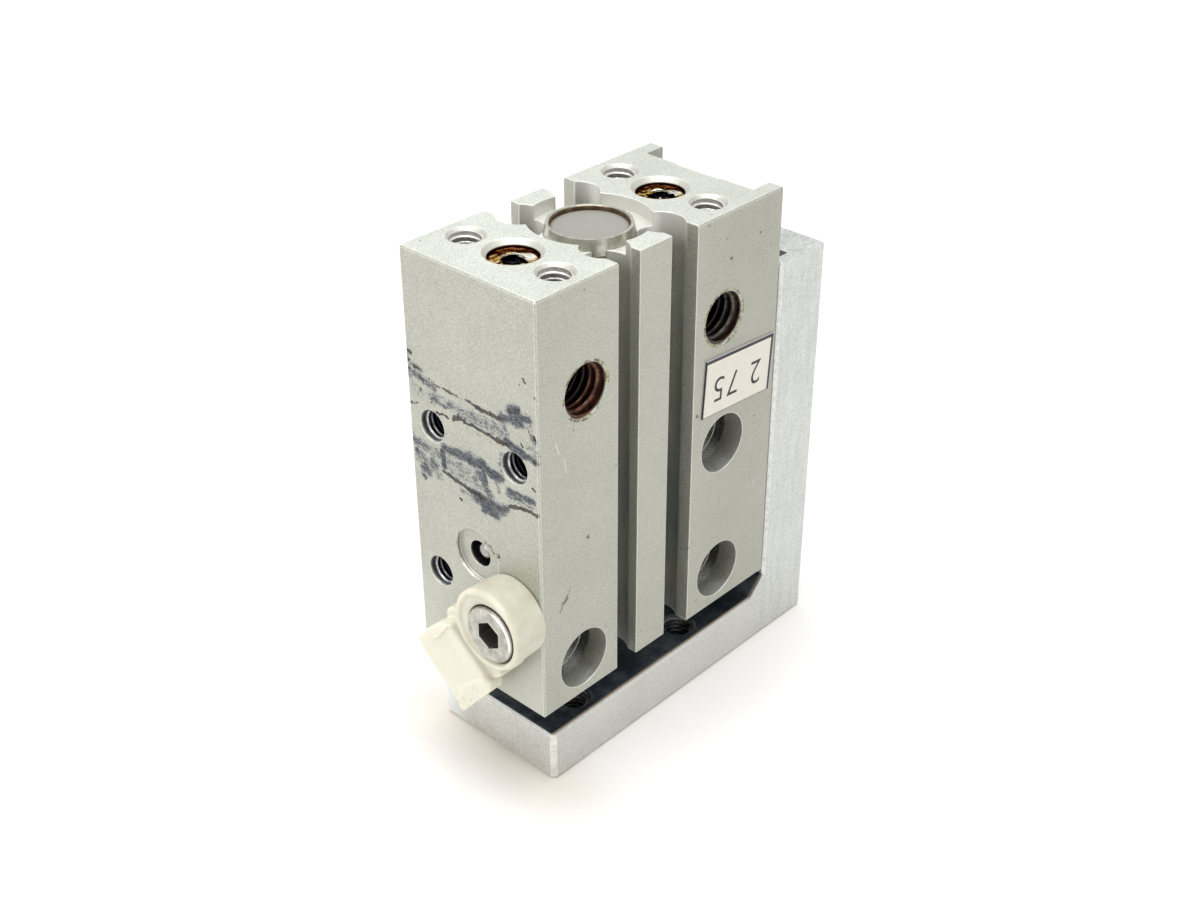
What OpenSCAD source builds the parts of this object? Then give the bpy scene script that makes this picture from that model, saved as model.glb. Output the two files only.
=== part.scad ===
// Pneumatic slide table: a flat air cylinder whose L-shaped table runs on a
// miniature linear guide. The table's foot is fixed to the piston rod, and its
// leg carries the guide block that runs on the rail at the cylinder's side.
//
// Frame: +Z along the bore, from the foot to the head end; +X towards the
// table's leg; -Y is the wide face with the air ports. The origin is on the
// foot's outer face, at the bore axis. The table is drawn retracted.

/* [Cylinder body] */
// Length of the body along the bore
body_l = 42; // [40:0.5:60]
// Thickness across the two wide faces
body_t = 16; // [15.5:0.25:22]
// Bore axis to the narrow face
narrow_side = 14.75; // [14.4:0.05:20]
// Bore axis to the floor of the guide channel
guide_side = 14.45; // [14:0.05:20]
// Thickness of the two flanges beside the guide channel
flange_t = 1.6; // [1:0.1:2]
// Height of the flanges above the channel floor
flange_h = 2.45; // [1.5:0.05:3]
// Depth of the groove that locates the rail in the channel floor
rail_seat_depth = 0.2; // [0.1:0.05:0.5]
// Edge break on the body's corners
body_edge = 0.15; // [0.05:0.05:0.4]
// Stroke of the table
stroke = 10; // [5:0.5:12]
// Bore diameter
bore_d = 6; // [5:0.1:7.2]

/* [Switch grooves] */
// Diameter of the round groove that holds a position switch
switch_d = 4.4; // [3.6:0.1:4.6]
// Depth of the groove's centre below the wide face
switch_depth = 3; // [2.6:0.1:3.2]
// Width of the groove's mouth
mouth_w = 3.05; // [2.4:0.05:3.6]
// Width of the strip between the two grooves of a face
strip_w = 4; // [3:0.1:5]
// How far that strip lies below the wide face
strip_drop = 0.35; // [0:0.05:1]

/* [Air ports and passages] */
// Thread of the air ports, major diameter
port_d = 5; // [4:0.1:6]
// Depth of the port thread
port_l = 5; // [4:0.1:6]
// Bore axis to each port
port_x = 9; // [8.6:0.1:10]
// Ports below the head end face
port_drop = 10.2; // [9:0.1:14]
// Bore axis to each long air passage
passage_x = 9.2; // [8.8:0.1:10]
// Diameter of the long air passages
passage_d = 2.6; // [2:0.1:3]
// Diameter of the steel balls that close the long passages
passage_ball_d = 4.46; // [4:0.02:4.8]
// Ball below the head end face
passage_ball_drop = 0.4; // [0.3:0.1:1.5]
// Diameter of the cross drillings into the bore
cross_d = 1.6; // [1.2:0.1:2]
// Diameter of the steel balls that close the cross drillings
cross_ball_d = 2.56; // [2.2:0.02:3]
// Rod side cross drilling above the rod end face
rod_cross_z = 14.3; // [13.5:0.1:16]

/* [Mounting holes] */
// M3 holes, major diameter
m3_d = 3; // [2.5:0.1:4]
// Depth of the blind M3 holes
m3_l = 5; // [3:0.1:6]
// Row spacing of the M3 holes in the head end face, along X
end_hole_x = 19.2; // [18.6:0.1:20]
// Row spacing of the M3 holes in the head end face, along Y
end_hole_y = 10.5; // [10:0.1:11]
// Spacing of the M3 holes in the narrow face, along Y
side_hole_y = 10.2; // [9:0.1:11]
// Lower row of the narrow face's M3 holes above the rod end face
side_hole_z = 10.1; // [9:0.1:11]
// Pitch of the two rows of the narrow face's M3 holes
side_hole_pitch = 15.5; // [13:0.1:17]
// Clearance diameter of the through holes
through_d = 3.4; // [2.6:0.1:3.6]
// Counterbore of the through holes
through_cbore_d = 6; // [5:0.1:6.2]
// Depth of that counterbore
through_cbore_l = 3.3; // [2:0.1:4]
// Spacing of the two lower through holes
through_x = 19; // [18.4:0.1:20]
// Lower through holes above the rod end face
through_z = 4; // [3.8:0.1:5]
// Upper through hole above the lower one
through_pitch = 14.5; // [10:0.1:16]

/* [Table] */
// Thickness of the foot
foot_t = 5.4; // [5:0.1:8]
// Gap between the foot and the body with the table retracted
rest_gap = 3.45; // [2:0.05:5]
// How far the table's sides lie inside the body's wide faces
table_inset = 0.5; // [0:0.05:0.8]
// Foot's free end inside the body's narrow face
foot_inset = 1.55; // [0:0.05:3]
// Gap between the body's flanges and the leg
leg_gap = 1.05; // [0.5:0.05:2]
// Thickness of the leg
leg_t = 6.8; // [6:0.1:9]
// Leg's end below the head end face
leg_drop = 8.1; // [6:0.1:10]
// Chamfer in the inner corner of foot and leg
corner_chamfer = 2; // [1:0.1:3]
// Edge break on the table's corners
table_edge = 0.3; // [0.1:0.05:0.6]
// Spacing of the foot's M3 holes along X
foot_hole_x = 15.2; // [13:0.1:17]
// Spacing of the foot's M3 holes along Y, and of the leg's
foot_hole_y = 9.6; // [9:0.1:10.5]
// Depth of the leg's M3 holes
leg_hole_l = 3; // [2:0.1:3.2]
// Lower row of the leg's M3 holes above the foot's outer face
leg_hole_z = 12.6; // [9:0.1:15]
// Pitch of the leg's two rows of M3 holes
leg_hole_pitch = 26; // [25.6:0.1:26.2]
// Diameter of the leg's two dowel holes
dowel_d = 2.5; // [2:0.1:3]
// Depth of the dowel holes
dowel_l = 2.5; // [1.5:0.1:3]

/* [Linear guide] */
// Width of the rail
rail_w = 5; // [4:0.1:6]
// Height of the rail
rail_h = 3.7; // [3.4:0.1:4]
// Height from the rail's seat to the top of the block
guide_h = 6; // [5.8:0.1:6.6]
// Gap under the block
block_lift = 1.5; // [1.2:0.1:1.6]
// Width of the block
block_w = 12; // [11.4:0.1:12.2]
// Length of the block's steel body
block_l = 13.5; // [11:0.5:16]
// Length of each plastic end cap
end_cap_l = 1.75; // [1.4:0.05:2.5]
// Block's end below the leg's end
block_drop = 4.1; // [3:0.1:5]
// Diameter of the guide's balls
guide_ball_d = 1; // [0.8:0.05:1.1]
// Rail's end above the rod end face
rail_inset_rod = 1; // [0.5:0.1:2]
// Rail's end below the head end face
rail_inset_head = 2; // [1.6:0.1:3]
// Pitch of the rail's screws
rail_pitch = 12; // [10:0.5:13]

/* [Piston and rod] */
// Diameter of the piston rod
rod_d = 3; // [2.6:0.1:3.2]
// Diameter of the rod's spigot in the piston
spigot_d = 2; // [1.6:0.1:2.2]
// Length of the piston with its magnet
piston_l = 7.5; // [7:0.1:9]
// Thickness of the ring that holds the magnet
magnet_holder_l = 1.2; // [1:0.1:1.6]
// Length of the magnet
magnet_l = 2.5; // [1.5:0.1:2.8]
// Width of the piston seal's groove
piston_seal_w = 1.3; // [1:0.1:1.6]
// Radial clearance of the piston in the bore
piston_fit = 0.05; // [0.02:0.01:0.08]
// Radial clearance of the rod in its bush
rod_fit = 0.03; // [0.02:0.01:0.05]
// Play left at each end of the stroke
end_play = 0.05; // [0.02:0.01:0.1]

/* [Covers] */
// Step from the bore out to the seat of each cover, on the radius
seat_step = 1.05; // [1:0.05:1.4]
// Depth of the round recess in the head end face
recess_depth = 1.3; // [0.5:0.1:1.5]
// Diameter of that recess
recess_d = 11.2; // [10.4:0.1:12]
// Head ring's rim below the head end face
ring_drop = 0.3; // [0.2:0.05:0.6]
// Length of the head ring
ring_l = 1.5; // [1:0.1:1.6]
// Width of the head ring's rim
ring_rim = 0.55; // [0.5:0.05:0.9]
// Narrowing of the head retaining ring's outside towards its rim
ring_taper = 0.18; // [0.1:0.02:0.3]
// Head cover's face below the ring's rim
cover_drop = 0.45; // [0.3:0.05:0.8]
// Length of each cover's flange
flange_l = 1.3; // [1:0.1:1.6]
// Length of the head cover's plug below its flange
head_plug_l = 1.9; // [1.6:0.1:2.2]
// Length of the head cover's nose below its plug
head_nose_l = 2.4; // [2.1:0.1:3]
// Length of the rod cover's plug above its flange
rod_plug_l = 9.8; // [9.4:0.1:10]
// Thickness of the urethane bumpers
bumper_l = 0.9; // [0.6:0.1:1.2]
// Diameter of the noses that the bumpers sit on
nose_d = 4.4; // [4:0.1:4.8]
// Cross-section of the two cover O-rings
oring_d = 0.62; // [0.5:0.02:0.7]
// Wire thickness of the snap ring
snap_t = 0.6; // [0.4:0.05:0.8]

/* [Tie mount and label] */
// Outer diameter of the tie mount's eye
eye_d = 8.3; // [8:0.1:9]
// Eye's centre from the screw's axis, across the neck
eye_shift = 0.7; // [0:0.1:1]
// Thickness of the eye
eye_t = 3.8; // [3.3:0.1:4.5]
// Angle of the tie mount's neck below the +Y direction
neck_angle = 50; // [30:1:60]
// Width of the neck
neck_w = 5.8; // [4:0.1:7]
// Bore axis of the eye to the outer side of the saddle
saddle_reach = 11; // [9:0.1:13]
// Length of the saddle
saddle_l = 8; // [7:0.1:9]
// Thickness of the saddle, away from the eye
saddle_t = 4.4; // [3:0.1:5]
// Radius of the two lugs beside the neck
lug_r = 0.75; // [0.5:0.05:0.9]
// Bore axis to the sticker's middle
label_x = 11.4; // [11:0.05:11.6]
// Sticker's middle below the head end face
label_drop = 17; // [16:0.5:18]
// Width of the sticker
label_w = 9.9; // [6:0.1:10]
// Height of the sticker
label_h = 5.9; // [4:0.1:6.5]
// Thickness of the sticker
label_t = 0.12; // [0.1:0.01:0.3]
// How far the sticker is turned out of square, clockwise
label_turn = 4; // [0:0.1:5]

/* [Hidden] */
$fn = 48;
eps = 0.01;          // overlap of a cut with the face that it opens
snug = 0.02;         // radial clearance of pieces that are pressed or bonded
thread_fit = 0.02;   // radial clearance of a screw in its threaded hole

// Levels along the bore
z_rod = foot_t + rest_gap;
z_head = z_rod + body_l;
bore_r = bore_d / 2;
seat_r = bore_r + seat_step;
z_ledge = z_head - recess_depth;
z_rim = z_head - ring_drop;
z_ring = z_rim - ring_l;
z_taper = z_head - recess_depth + 0.1;
z_head_seat = z_ring - flange_l;
z_head_plug = z_head_seat - head_plug_l;
z_head_nose = z_head_plug - head_nose_l;
z_piston_top = z_head_nose - bumper_l - end_play;
z_piston = z_piston_top - piston_l;
z_snap = z_rod + 0.4;
z_rod_flange = z_snap + snap_t;
z_rod_seat = z_rod_flange + flange_l;
z_rod_plug = z_rod_seat + rod_plug_l;
z_rod_nose = z_piston - stroke - end_play - bumper_l;
z_port = z_head - port_drop;
z_cross_rod = z_rod + rod_cross_z;
z_cross_head = z_head_plug - cross_d / 2 - 0.4;
oring_groove_w = oring_d + 0.25;
z_oring_head = z_head_plug + 0.5 + oring_groove_w / 2;
z_oring_rod = z_rod_flange + 3.9;
seal_r = rod_d / 2 + 0.9;    // seat of the rod seal in its cover
seal_w = 1.5;
z_seal = z_rod_flange + 1.4;
bush_seat_r = rod_d / 2 + 0.55;
bush_l = 6;
bumper_spigot_r = 1;
bumper_spigot_l = 1;
snap_groove = 0.35;          // depth of the snap ring's groove, on the radius
snap_eye_r = 0.75;
snap_eye_hole_r = 0.32;

// Body outline and switch grooves
half_t = body_t / 2;
x_flange = guide_side + flange_h;
mouth_out = strip_w / 2 + mouth_w;
switch_x = (strip_w / 2 + mouth_out) / 2;
switch_y = half_t - switch_depth;

// Long air passages and their balls
passage_r = passage_d / 2;
passage_ball_r = passage_ball_d / 2;
cross_ball_r = cross_ball_d / 2;
ball_z = z_head - passage_ball_drop - passage_ball_r;
ball_seat_z = ball_z - sqrt(pow(passage_ball_r, 2) - pow(passage_r, 2));
cross_ball_l = cross_ball_d + 0.5;
spot_d = 5.3;        // spot-face round the rod side cross drilling
spot_l = 0.35;
ball_gap = 0.25;     // cross balls below the face that they're pressed into
z_side_low = z_rod + side_hole_z;
z_side_high = z_side_low + side_hole_pitch;
z_through_low = z_rod + through_z;
z_through_high = z_through_low + through_pitch;
end_hole_l = m3_l + 1;

// Table
x_leg = x_flange + leg_gap;
x_leg_out = x_leg + leg_t;
x_foot = -narrow_side + foot_inset;
z_leg = z_head - leg_drop;
table_half = half_t - table_inset;

// Linear guide
x_rail = guide_side - rail_seat_depth;
x_rail_top = x_rail + rail_h;
x_block = x_rail + block_lift;
x_block_top = x_rail + guide_h;
z_rail = z_rod + rail_inset_rod;
rail_l = body_l - rail_inset_rod - rail_inset_head;
z_rail_mid = z_rail + rail_l / 2;
z_block_cap = z_leg - block_drop;
z_block_top = z_block_cap - end_cap_l;
z_block = z_block_top - block_l;
z_block_mid = z_block + block_l / 2;
guide_ball_r = guide_ball_d / 2;
race_r = guide_ball_r + 0.03;
race_y = rail_w / 2 + 0.12;
race_x = x_rail + rail_h * 0.62;
block_mouth = rail_w / 2 + 0.25;
x_block_roof = x_rail_top + 0.2;
return_y = race_y + 1.6;
turn_r = (return_y - race_y) / 2;
turn_y = (return_y + race_y) / 2;
pocket_half = block_w / 2 + 0.4;
pocket_corner = 2;
z_pocket = z_block - end_cap_l - 3;
block_screw_y = 4;
block_screw_z = 3.5;
block_screw_l = 1.6; // depth of the block's tapped holes
block_edge = 0.4;
m2_d = 2;
m2_head_d = 3.8;
m2_head_l = 2;
m2_head_gap = 0.2;   // gap round and above a screw head in its counterbore
rail_head_d = 3.3;
rail_head_l = 0.75;
rail_screw_l = 3;
rail_head_gap = 0.15;        // rail screw heads below the rail's top
z_rail_head = rail_h - rail_head_l - rail_head_gap;

// Piston and rod
rod_r = rod_d / 2;
spigot_r = spigot_d / 2;
piston_r = bore_r - piston_fit;
z_magnet = z_piston + magnet_holder_l;
z_piston_disc = z_magnet + magnet_l;
hub_r = spigot_r + 0.35;
z_piston_seal = z_piston_disc + 0.9;
rivet_r = spigot_r + 0.5;
rivet_l = 0.5;
// Floating joint at the foot
web_l = 2.6;
z_web = foot_t - web_l;
bush_r = rod_r + 0.4;
web_hole_r = bush_r + 0.15;
washer_r = 2.7;
washer_t = 0.4;
joint_play = 0.1;
z_bush = z_web - joint_play;
z_rod_end = foot_t + joint_play;
z_washer = z_bush - washer_t;
joint_head_r = 2.25;
joint_head_l = 1.7;
joint_screw_d = 2;
joint_cbore_r = 3;
// Tie mount
head_r = 2.75;
head_l = 3;
x_eye_floor = -narrow_side - (eye_t - head_l);
eye_y = -side_hole_y / 2;
eye_r = eye_d / 2;
label_z = z_head - label_drop;
lug_along = 4.6;     // eye's centre to a lug, along the neck
lug_l = 1.8;
lug_lift = 0.4;      // lug's foot above the body

// ---------------------------------------------------------------- helpers

// Rectangle from the origin with its corners cut off at 45 degrees
module chamfered(w, h, c)
    polygon([[c, 0], [w - c, 0], [w, c], [w, h - c], [w - c, h], [c, h], [0, h - c], [0, c]]);

// Box with all twelve edges broken by c
module broken_box(low, high, c) {
    size = high - low;
    translate(low)
        intersection() {
            linear_extrude(size[2]) chamfered(size[0], size[1], c);
            translate([0, size[1], 0]) rotate([90, 0, 0])
                linear_extrude(size[1]) chamfered(size[0], size[2], c);
            rotate([90, 0, 90]) linear_extrude(size[0]) chamfered(size[1], size[2], c);
        }
}

// Cylinder along Z between two levels
module rod(r, z0, z1) translate([0, 0, z0]) cylinder(r = r, h = z1 - z0);

// Ring along Z between two levels
module ring(r_out, r_in, z0, z1)
    difference() {
        rod(r_out, z0, z1);
        rod(r_in, z0 - eps, z1 + eps);
    }

// Blind drilling along -Z from the origin, with its cone of 118 degrees
module drill(d, l) {
    tip = d / 2 * tan(31);
    translate([0, 0, -l]) cylinder(d = d, h = l + eps);
    translate([0, 0, -l - tip]) cylinder(d1 = 0, d2 = d, h = tip + eps / 10);
}

// Countersink along -Z from the origin
module countersink(d, c) translate([0, 0, -c]) cylinder(d1 = d, d2 = d + 2 * c + 2 * eps, h = c + eps);

// Blind tapped hole with a small countersink
module tapped(d, l, c = 0.3) {
    drill(d, l);
    countersink(d, c);
}

// Turns what points along -Z so that it points into the face named
module into_minus_x() rotate([0, -90, 0]) children();
module into_plus_x() rotate([0, 90, 0]) children();
module into_minus_y() rotate([90, 0, 0]) children();

// Cylinder head screw along -Z: its head stands above the origin, with a hexagon socket
module cap_screw(d, head_d, head_l, l, socket) {
    difference() {
        union() {
            cylinder(d = head_d, h = head_l - 0.2);
            translate([0, 0, head_l - 0.2]) cylinder(d1 = head_d, d2 = head_d - 0.4, h = 0.2);
        }
        translate([0, 0, head_l * 0.45]) cylinder(d = socket / cos(30), h = head_l, $fn = 6);
    }
    translate([0, 0, -l]) cylinder(d = d - 2 * thread_fit, h = l + eps);
}

// ---------------------------------------------------------- table assembly

module table_profile()
    polygon([
        [x_foot, 0], [x_leg_out, 0], [x_leg_out, z_leg], [x_leg, z_leg],
        [x_leg, foot_t + corner_chamfer], [x_leg - corner_chamfer, foot_t], [x_foot, foot_t]
    ]);

// Square bar whose corner breaks an edge along Z, X or Y
module edge_z(x, y, z0, z1, c)
    translate([x, y, (z0 + z1) / 2]) rotate([0, 0, 45])
        cube([c * sqrt(2), c * sqrt(2), z1 - z0 + 2 * eps], center = true);
module edge_x(x0, x1, y, z, c)
    translate([(x0 + x1) / 2, y, z]) rotate([45, 0, 0])
        cube([x1 - x0 + 2 * eps, c * sqrt(2), c * sqrt(2)], center = true);
module edge_y(x, z, c)
    translate([x, 0, z]) rotate([0, 45, 0]) cube([c * sqrt(2), body_t, c * sqrt(2)], center = true);

// Pocket that the guide block lies in, open at the leg's end
module block_pocket()
    translate([x_leg - eps, 0, 0]) rotate([90, 0, 90])
        linear_extrude(x_block_top - x_leg + eps) {
            translate([-pocket_half, z_pocket + pocket_corner])
                square([2 * pocket_half, z_leg - z_pocket]);
            translate([-pocket_half + pocket_corner, z_pocket])
                square([2 * (pocket_half - pocket_corner), pocket_corner + eps]);
            for (s = [-1, 1])
                translate([s * (pocket_half - pocket_corner), z_pocket + pocket_corner])
                    circle(r = pocket_corner);
        }

module table()
    color("#b9bdbc")
    difference() {
        translate([0, table_half, 0]) rotate([90, 0, 0]) linear_extrude(2 * table_half) table_profile();
        for (s = [-1, 1]) {
            edge_x(x_foot, x_leg_out, s * table_half, 0, table_edge);
            edge_x(x_foot, x_leg - corner_chamfer, s * table_half, foot_t, table_edge);
            edge_z(x_foot, s * table_half, 0, foot_t, table_edge * 1.5);
            edge_z(x_leg_out, s * table_half, 0, z_leg, table_edge);
            edge_z(x_leg, s * table_half, foot_t + corner_chamfer, z_leg, table_edge);
            edge_x(x_leg, x_leg_out, s * table_half, z_leg, table_edge);
        }
        edge_y(x_foot, 0, table_edge);
        edge_y(x_foot, foot_t, table_edge);
        edge_y(x_leg_out, 0, table_edge);
        edge_y(x_leg_out, z_leg, table_edge);
        edge_y(x_leg, z_leg, table_edge);
        block_pocket();
        // Floating joint of the rod
        rod(joint_cbore_r, -eps, z_web);
        rod(web_hole_r, 0, foot_t + eps);
        // M3 holes through the foot
        for (x = [-1, 1] * foot_hole_x / 2, y = [-1, 1] * foot_hole_y / 2)
            translate([x, y, 0]) {
                rod(m3_d / 2, -eps, foot_t + eps);
                translate([0, 0, foot_t]) countersink(m3_d, 0.3);
                mirror([0, 0, 1]) countersink(m3_d, 0.3);
            }
        // Work holes in the leg's outer face
        for (y = [-1, 1] * foot_hole_y / 2, z = [0, leg_hole_pitch])
            translate([x_leg_out, y, leg_hole_z + z]) into_plus_x() tapped(m3_d, leg_hole_l);
        translate([x_leg_out, 0, leg_hole_z]) into_plus_x() drill(dowel_d, dowel_l);
        translate([x_leg_out, 0, leg_hole_z + leg_hole_pitch]) into_plus_x()
            translate([0, 0, -dowel_l]) linear_extrude(dowel_l + eps) {
                square([1, dowel_d], center = true);
                for (s = [-0.5, 0.5]) translate([s, 0]) circle(d = dowel_d);
            }
        // Screws of the guide block
        at_block_screws() {
            translate([0, 0, -m2_head_l - m2_head_gap])
                cylinder(d = m2_head_d + 2 * m2_head_gap, h = m2_head_l + m2_head_gap + eps);
            translate([0, 0, -leg_t]) cylinder(d = m2_d + 0.3, h = leg_t);
        }
    }

// Places of the guide block's screws, pointing into the leg's outer face
module at_block_screws()
    for (y = [-1, 1] * block_screw_y, z = [-1, 1] * block_screw_z)
        translate([x_leg_out, y, z_block_mid + z]) into_plus_x() children();

module guide_block_screws()
    color("#8d9092")
    at_block_screws()
        translate([0, 0, -m2_head_l - m2_head_gap])
            cap_screw(m2_d, m2_head_d, m2_head_l,
                x_leg_out - x_block_top - m2_head_l - m2_head_gap + block_screw_l - 0.2, 1.5);

// Cross-section of the block, open round the rail, in the plane across Z
module block_section(inset, gap)
    difference() {
        translate([x_block + inset, -block_w / 2 + inset])
            chamfered(x_block_top - x_block - 2 * inset, block_w - 2 * inset, block_edge);
        translate([x_block - 1, -block_mouth - gap])
            square([x_block_roof + gap - x_block + 1, 2 * (block_mouth + gap)]);
    }

module guide_block()
    color("#777b7e")
    difference() {
        translate([0, 0, z_block]) linear_extrude(block_l) block_section(0, 0);
        for (s = [-1, 1]) {
            translate([race_x, s * race_y, 0]) rod(race_r, z_block - eps, z_block_top + eps);
            translate([race_x, s * return_y, 0]) rod(race_r, z_block - eps, z_block_top + eps);
        }
        for (y = [-1, 1] * block_screw_y, z = [-1, 1] * block_screw_z)
            translate([x_block_top, y, z_block_mid + z]) into_plus_x()
                translate([0, 0, -1.6]) cylinder(d = m2_d, h = block_screw_l + eps);
    }

module guide_block_end_caps()
    color("#2f3438")
    for (end = [[z_block_top, 0], [z_block, 1]])
        translate([0, 0, end[0]]) mirror([0, 0, end[1]])
            difference() {
                linear_extrude(end_cap_l) block_section(0.25, -0.1);
                for (s = [-1, 1])
                    translate([race_x, s * turn_y, 0]) rotate([90, 0, 90])
                        rotate_extrude(angle = 180) translate([turn_r, 0]) circle(r = race_r, $fn = 32);
            }

// Point at distance s along a ball circuit: up the race, round, down the return, round
race_straight = block_l;
turn_len = PI * turn_r;
circuit_len = 2 * (race_straight + turn_len);
function circuit(s) =
    s < race_straight ? [race_y, s] :
    s < race_straight + turn_len ?
        let (a = (s - race_straight) / turn_r * 180 / PI)
            [turn_y - turn_r * cos(a), race_straight + turn_r * sin(a)] :
    s < 2 * race_straight + turn_len ? [return_y, 2 * race_straight + turn_len - s] :
        let (a = (s - 2 * race_straight - turn_len) / turn_r * 180 / PI)
            [turn_y + turn_r * cos(a), -turn_r * sin(a)];

module guide_balls()
    color("#c9cccd") {
        count = floor(circuit_len / (guide_ball_d + 0.02));
        for (side = [-1, 1], i = [0 : count - 1]) {
            p = circuit(i * circuit_len / count);
            translate([race_x, side * p[0], z_block + p[1]]) sphere(d = guide_ball_d, $fn = 16);
        }
    }

module piston_rod()
    color("#d4d6d6")
    difference() {
        union() {
            rod(rod_r, z_rod_end, z_piston);
            rod(spigot_r, z_piston - eps, z_piston_top - rivet_l);
            translate([0, 0, z_piston_top - rivet_l]) cylinder(r1 = spigot_r, r2 = rivet_r, h = rivet_l);
        }
        rod(joint_screw_d / 2, z_rod_end - eps, z_rod_end + 5);
        // Wrench flats just above the foot
        for (s = [-1, 1])
            translate([s * (rod_r + 0.75), 0, z_rod_end + 1.3]) cube([2, rod_d, 1.2], center = true);
    }

module rod_end_screw()
    color("#8d9092")
    translate([0, 0, z_washer]) rotate([180, 0, 0])
        cap_screw(joint_screw_d, 2 * joint_head_r, joint_head_l, z_rod_end + 4 - z_washer, 1.5);

module rod_end_washer()
    color("#a9acae") ring(washer_r, joint_screw_d / 2 + 0.1, z_washer, z_bush);

module rod_floating_bush()
    color("#b08d4c") ring(bush_r, joint_screw_d / 2 + 0.05, z_bush, z_rod_end);

module magnet_holder()
    color("#b4b7b9") ring(piston_r, spigot_r + snug, z_piston, z_magnet);

module piston_magnet()
    color("#4a4644") ring(bore_r - 0.25, hub_r + snug, z_magnet, z_piston_disc);

module piston()
    color("#b4b7b9")
    difference() {
        union() {
            rod(hub_r, z_magnet, z_piston_disc + eps);
            rod(piston_r, z_piston_disc, z_piston_top);
        }
        ring(bore_r + 1, bore_r - 0.9, z_piston_seal, z_piston_seal + piston_seal_w);
        rod(spigot_r + snug, z_magnet - eps, z_piston_top - rivet_l + eps);
        translate([0, 0, z_piston_top - rivet_l])
            cylinder(r1 = spigot_r + snug, r2 = rivet_r + snug, h = rivet_l + eps);
    }

// Lip seal with a V groove between its two lips
module piston_seal()
    color("#1d1d1f")
    rotate_extrude()
        polygon([
            for (p = [
                [0, 0.08], [0.82, 0.08], [0.88, 0.2], [0.55, 0.5],
                [0.55, 0.8], [0.88, 1.1], [0.82, 1.22], [0, 1.22]
            ])
                [
                    bore_r - 0.9 + snug + p[0] * (0.9 - snug - 0.015) / 0.88,
                    z_piston_seal + p[1] * piston_seal_w / 1.3
                ]
        ]);

// ------------------------------------------------------- cylinder assembly

module body_outline()
    difference() {
        union() {
            translate([-narrow_side, -half_t]) square([narrow_side + guide_side, body_t]);
            for (s = [-1, 1])
                translate([guide_side - eps, s * (half_t - flange_t / 2) - flange_t / 2])
                    square([flange_h + eps, flange_t]);
        }
        for (sx = [-1, 1], sy = [-1, 1])
            scale([sx, sy, 1]) {
                translate([switch_x, switch_y]) circle(d = switch_d);
                translate([strip_w / 2, switch_y]) square([mouth_w, switch_depth + 1]);
            }
        for (sy = [-1, 1])
            scale([1, sy, 1]) translate([-strip_w / 2 - eps, half_t - strip_drop])
                square([strip_w + 2 * eps, 1]);
        translate([guide_side - rail_seat_depth, -rail_w / 2 - 0.05]) square([1, rail_w + 0.1]);
    }

// Air port: tapped hole in the -Y face, drilled on into the long passage
module air_port(side)
    translate([side * port_x, -half_t, z_port]) into_minus_y() {
        translate([0, 0, -port_l]) cylinder(d = port_d, h = port_l + eps);
        countersink(port_d, 0.1);
        drill(port_d - 0.8, half_t - passage_r);
    }

// Long passage from the head end down to a cross drilling, with its ball seat
module long_passage(side, z_low)
    translate([side * passage_x, 0, 0]) {
        rod(passage_r, z_low, z_head + eps);
        rod(passage_ball_r + snug, ball_seat_z, z_head + eps);
        translate([0, 0, z_head]) countersink(2 * (passage_ball_r + snug), 0.45);
    }

// Cross drilling from a side face into the bore, with its ball seat
module cross_hole(side, x_face, z) {
    translate([side * x_face, 0, z]) rotate([0, -side * 90, 0]) {
        translate([0, 0, -eps]) cylinder(d = cross_d, h = x_face - bore_r / 2);
        translate([0, 0, -eps]) cylinder(r = cross_ball_r + snug, h = cross_ball_l);
    }
}

module through_hole(x, z)
    translate([x, 0, z]) rotate([90, 0, 0]) {
        cylinder(d = through_d, h = body_t + 2 * eps, center = true);
        for (s = [-1, 1])
            translate([0, 0, s * (half_t - through_cbore_l / 2 + eps)])
                cylinder(d = through_cbore_d, h = through_cbore_l + 2 * eps, center = true);
    }

module cylinder_body()
    color("#c3c4bd")
    difference() {
        intersection() {
            translate([0, 0, z_rod]) linear_extrude(body_l) body_outline();
            broken_box([-narrow_side, -half_t, z_rod], [x_flange, half_t, z_head], body_edge);
        }
        rod(bore_r, z_rod - eps, z_head + eps);
        rod(seat_r, z_head_seat, z_head + eps);
        rod(recess_d / 2, z_ledge, z_head + eps);
        rod(seat_r, z_rod - eps, z_rod_seat);
        rod(seat_r + snap_groove, z_snap - 0.05, z_snap + snap_t);
        air_port(-1);
        air_port(1);
        long_passage(-1, z_cross_rod - cross_d / 2);
        long_passage(1, z_port - passage_r);
        cross_hole(-1, narrow_side, z_cross_rod);
        cross_hole(1, guide_side, z_cross_head);
        translate([-narrow_side, 0, z_cross_rod]) into_minus_x()
            translate([0, 0, -spot_l]) cylinder(d = spot_d, h = 1);
        for (x = [-1, 1] * end_hole_x / 2, y = [-1, 1] * end_hole_y / 2)
            translate([x, y, z_head]) tapped(m3_d, end_hole_l);
        for (y = [-1, 1] * side_hole_y / 2, z = [z_side_low, z_side_high])
            translate([-narrow_side, y, z]) into_minus_x() tapped(m3_d, m3_l, 0.08);
        through_hole(-through_x / 2, z_through_low);
        through_hole(through_x / 2, z_through_low);
        through_hole(through_x / 2, z_through_high);
        at_rail_screws() translate([0, 0, -rail_screw_l - 0.3]) cylinder(d = m2_d, h = rail_screw_l + 1);
    }

// Groove of an O-ring round a cover's plug
module oring_groove(z) ring(bore_r + 1, bore_r - oring_d, z - oring_groove_w / 2, z + oring_groove_w / 2);

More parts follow.
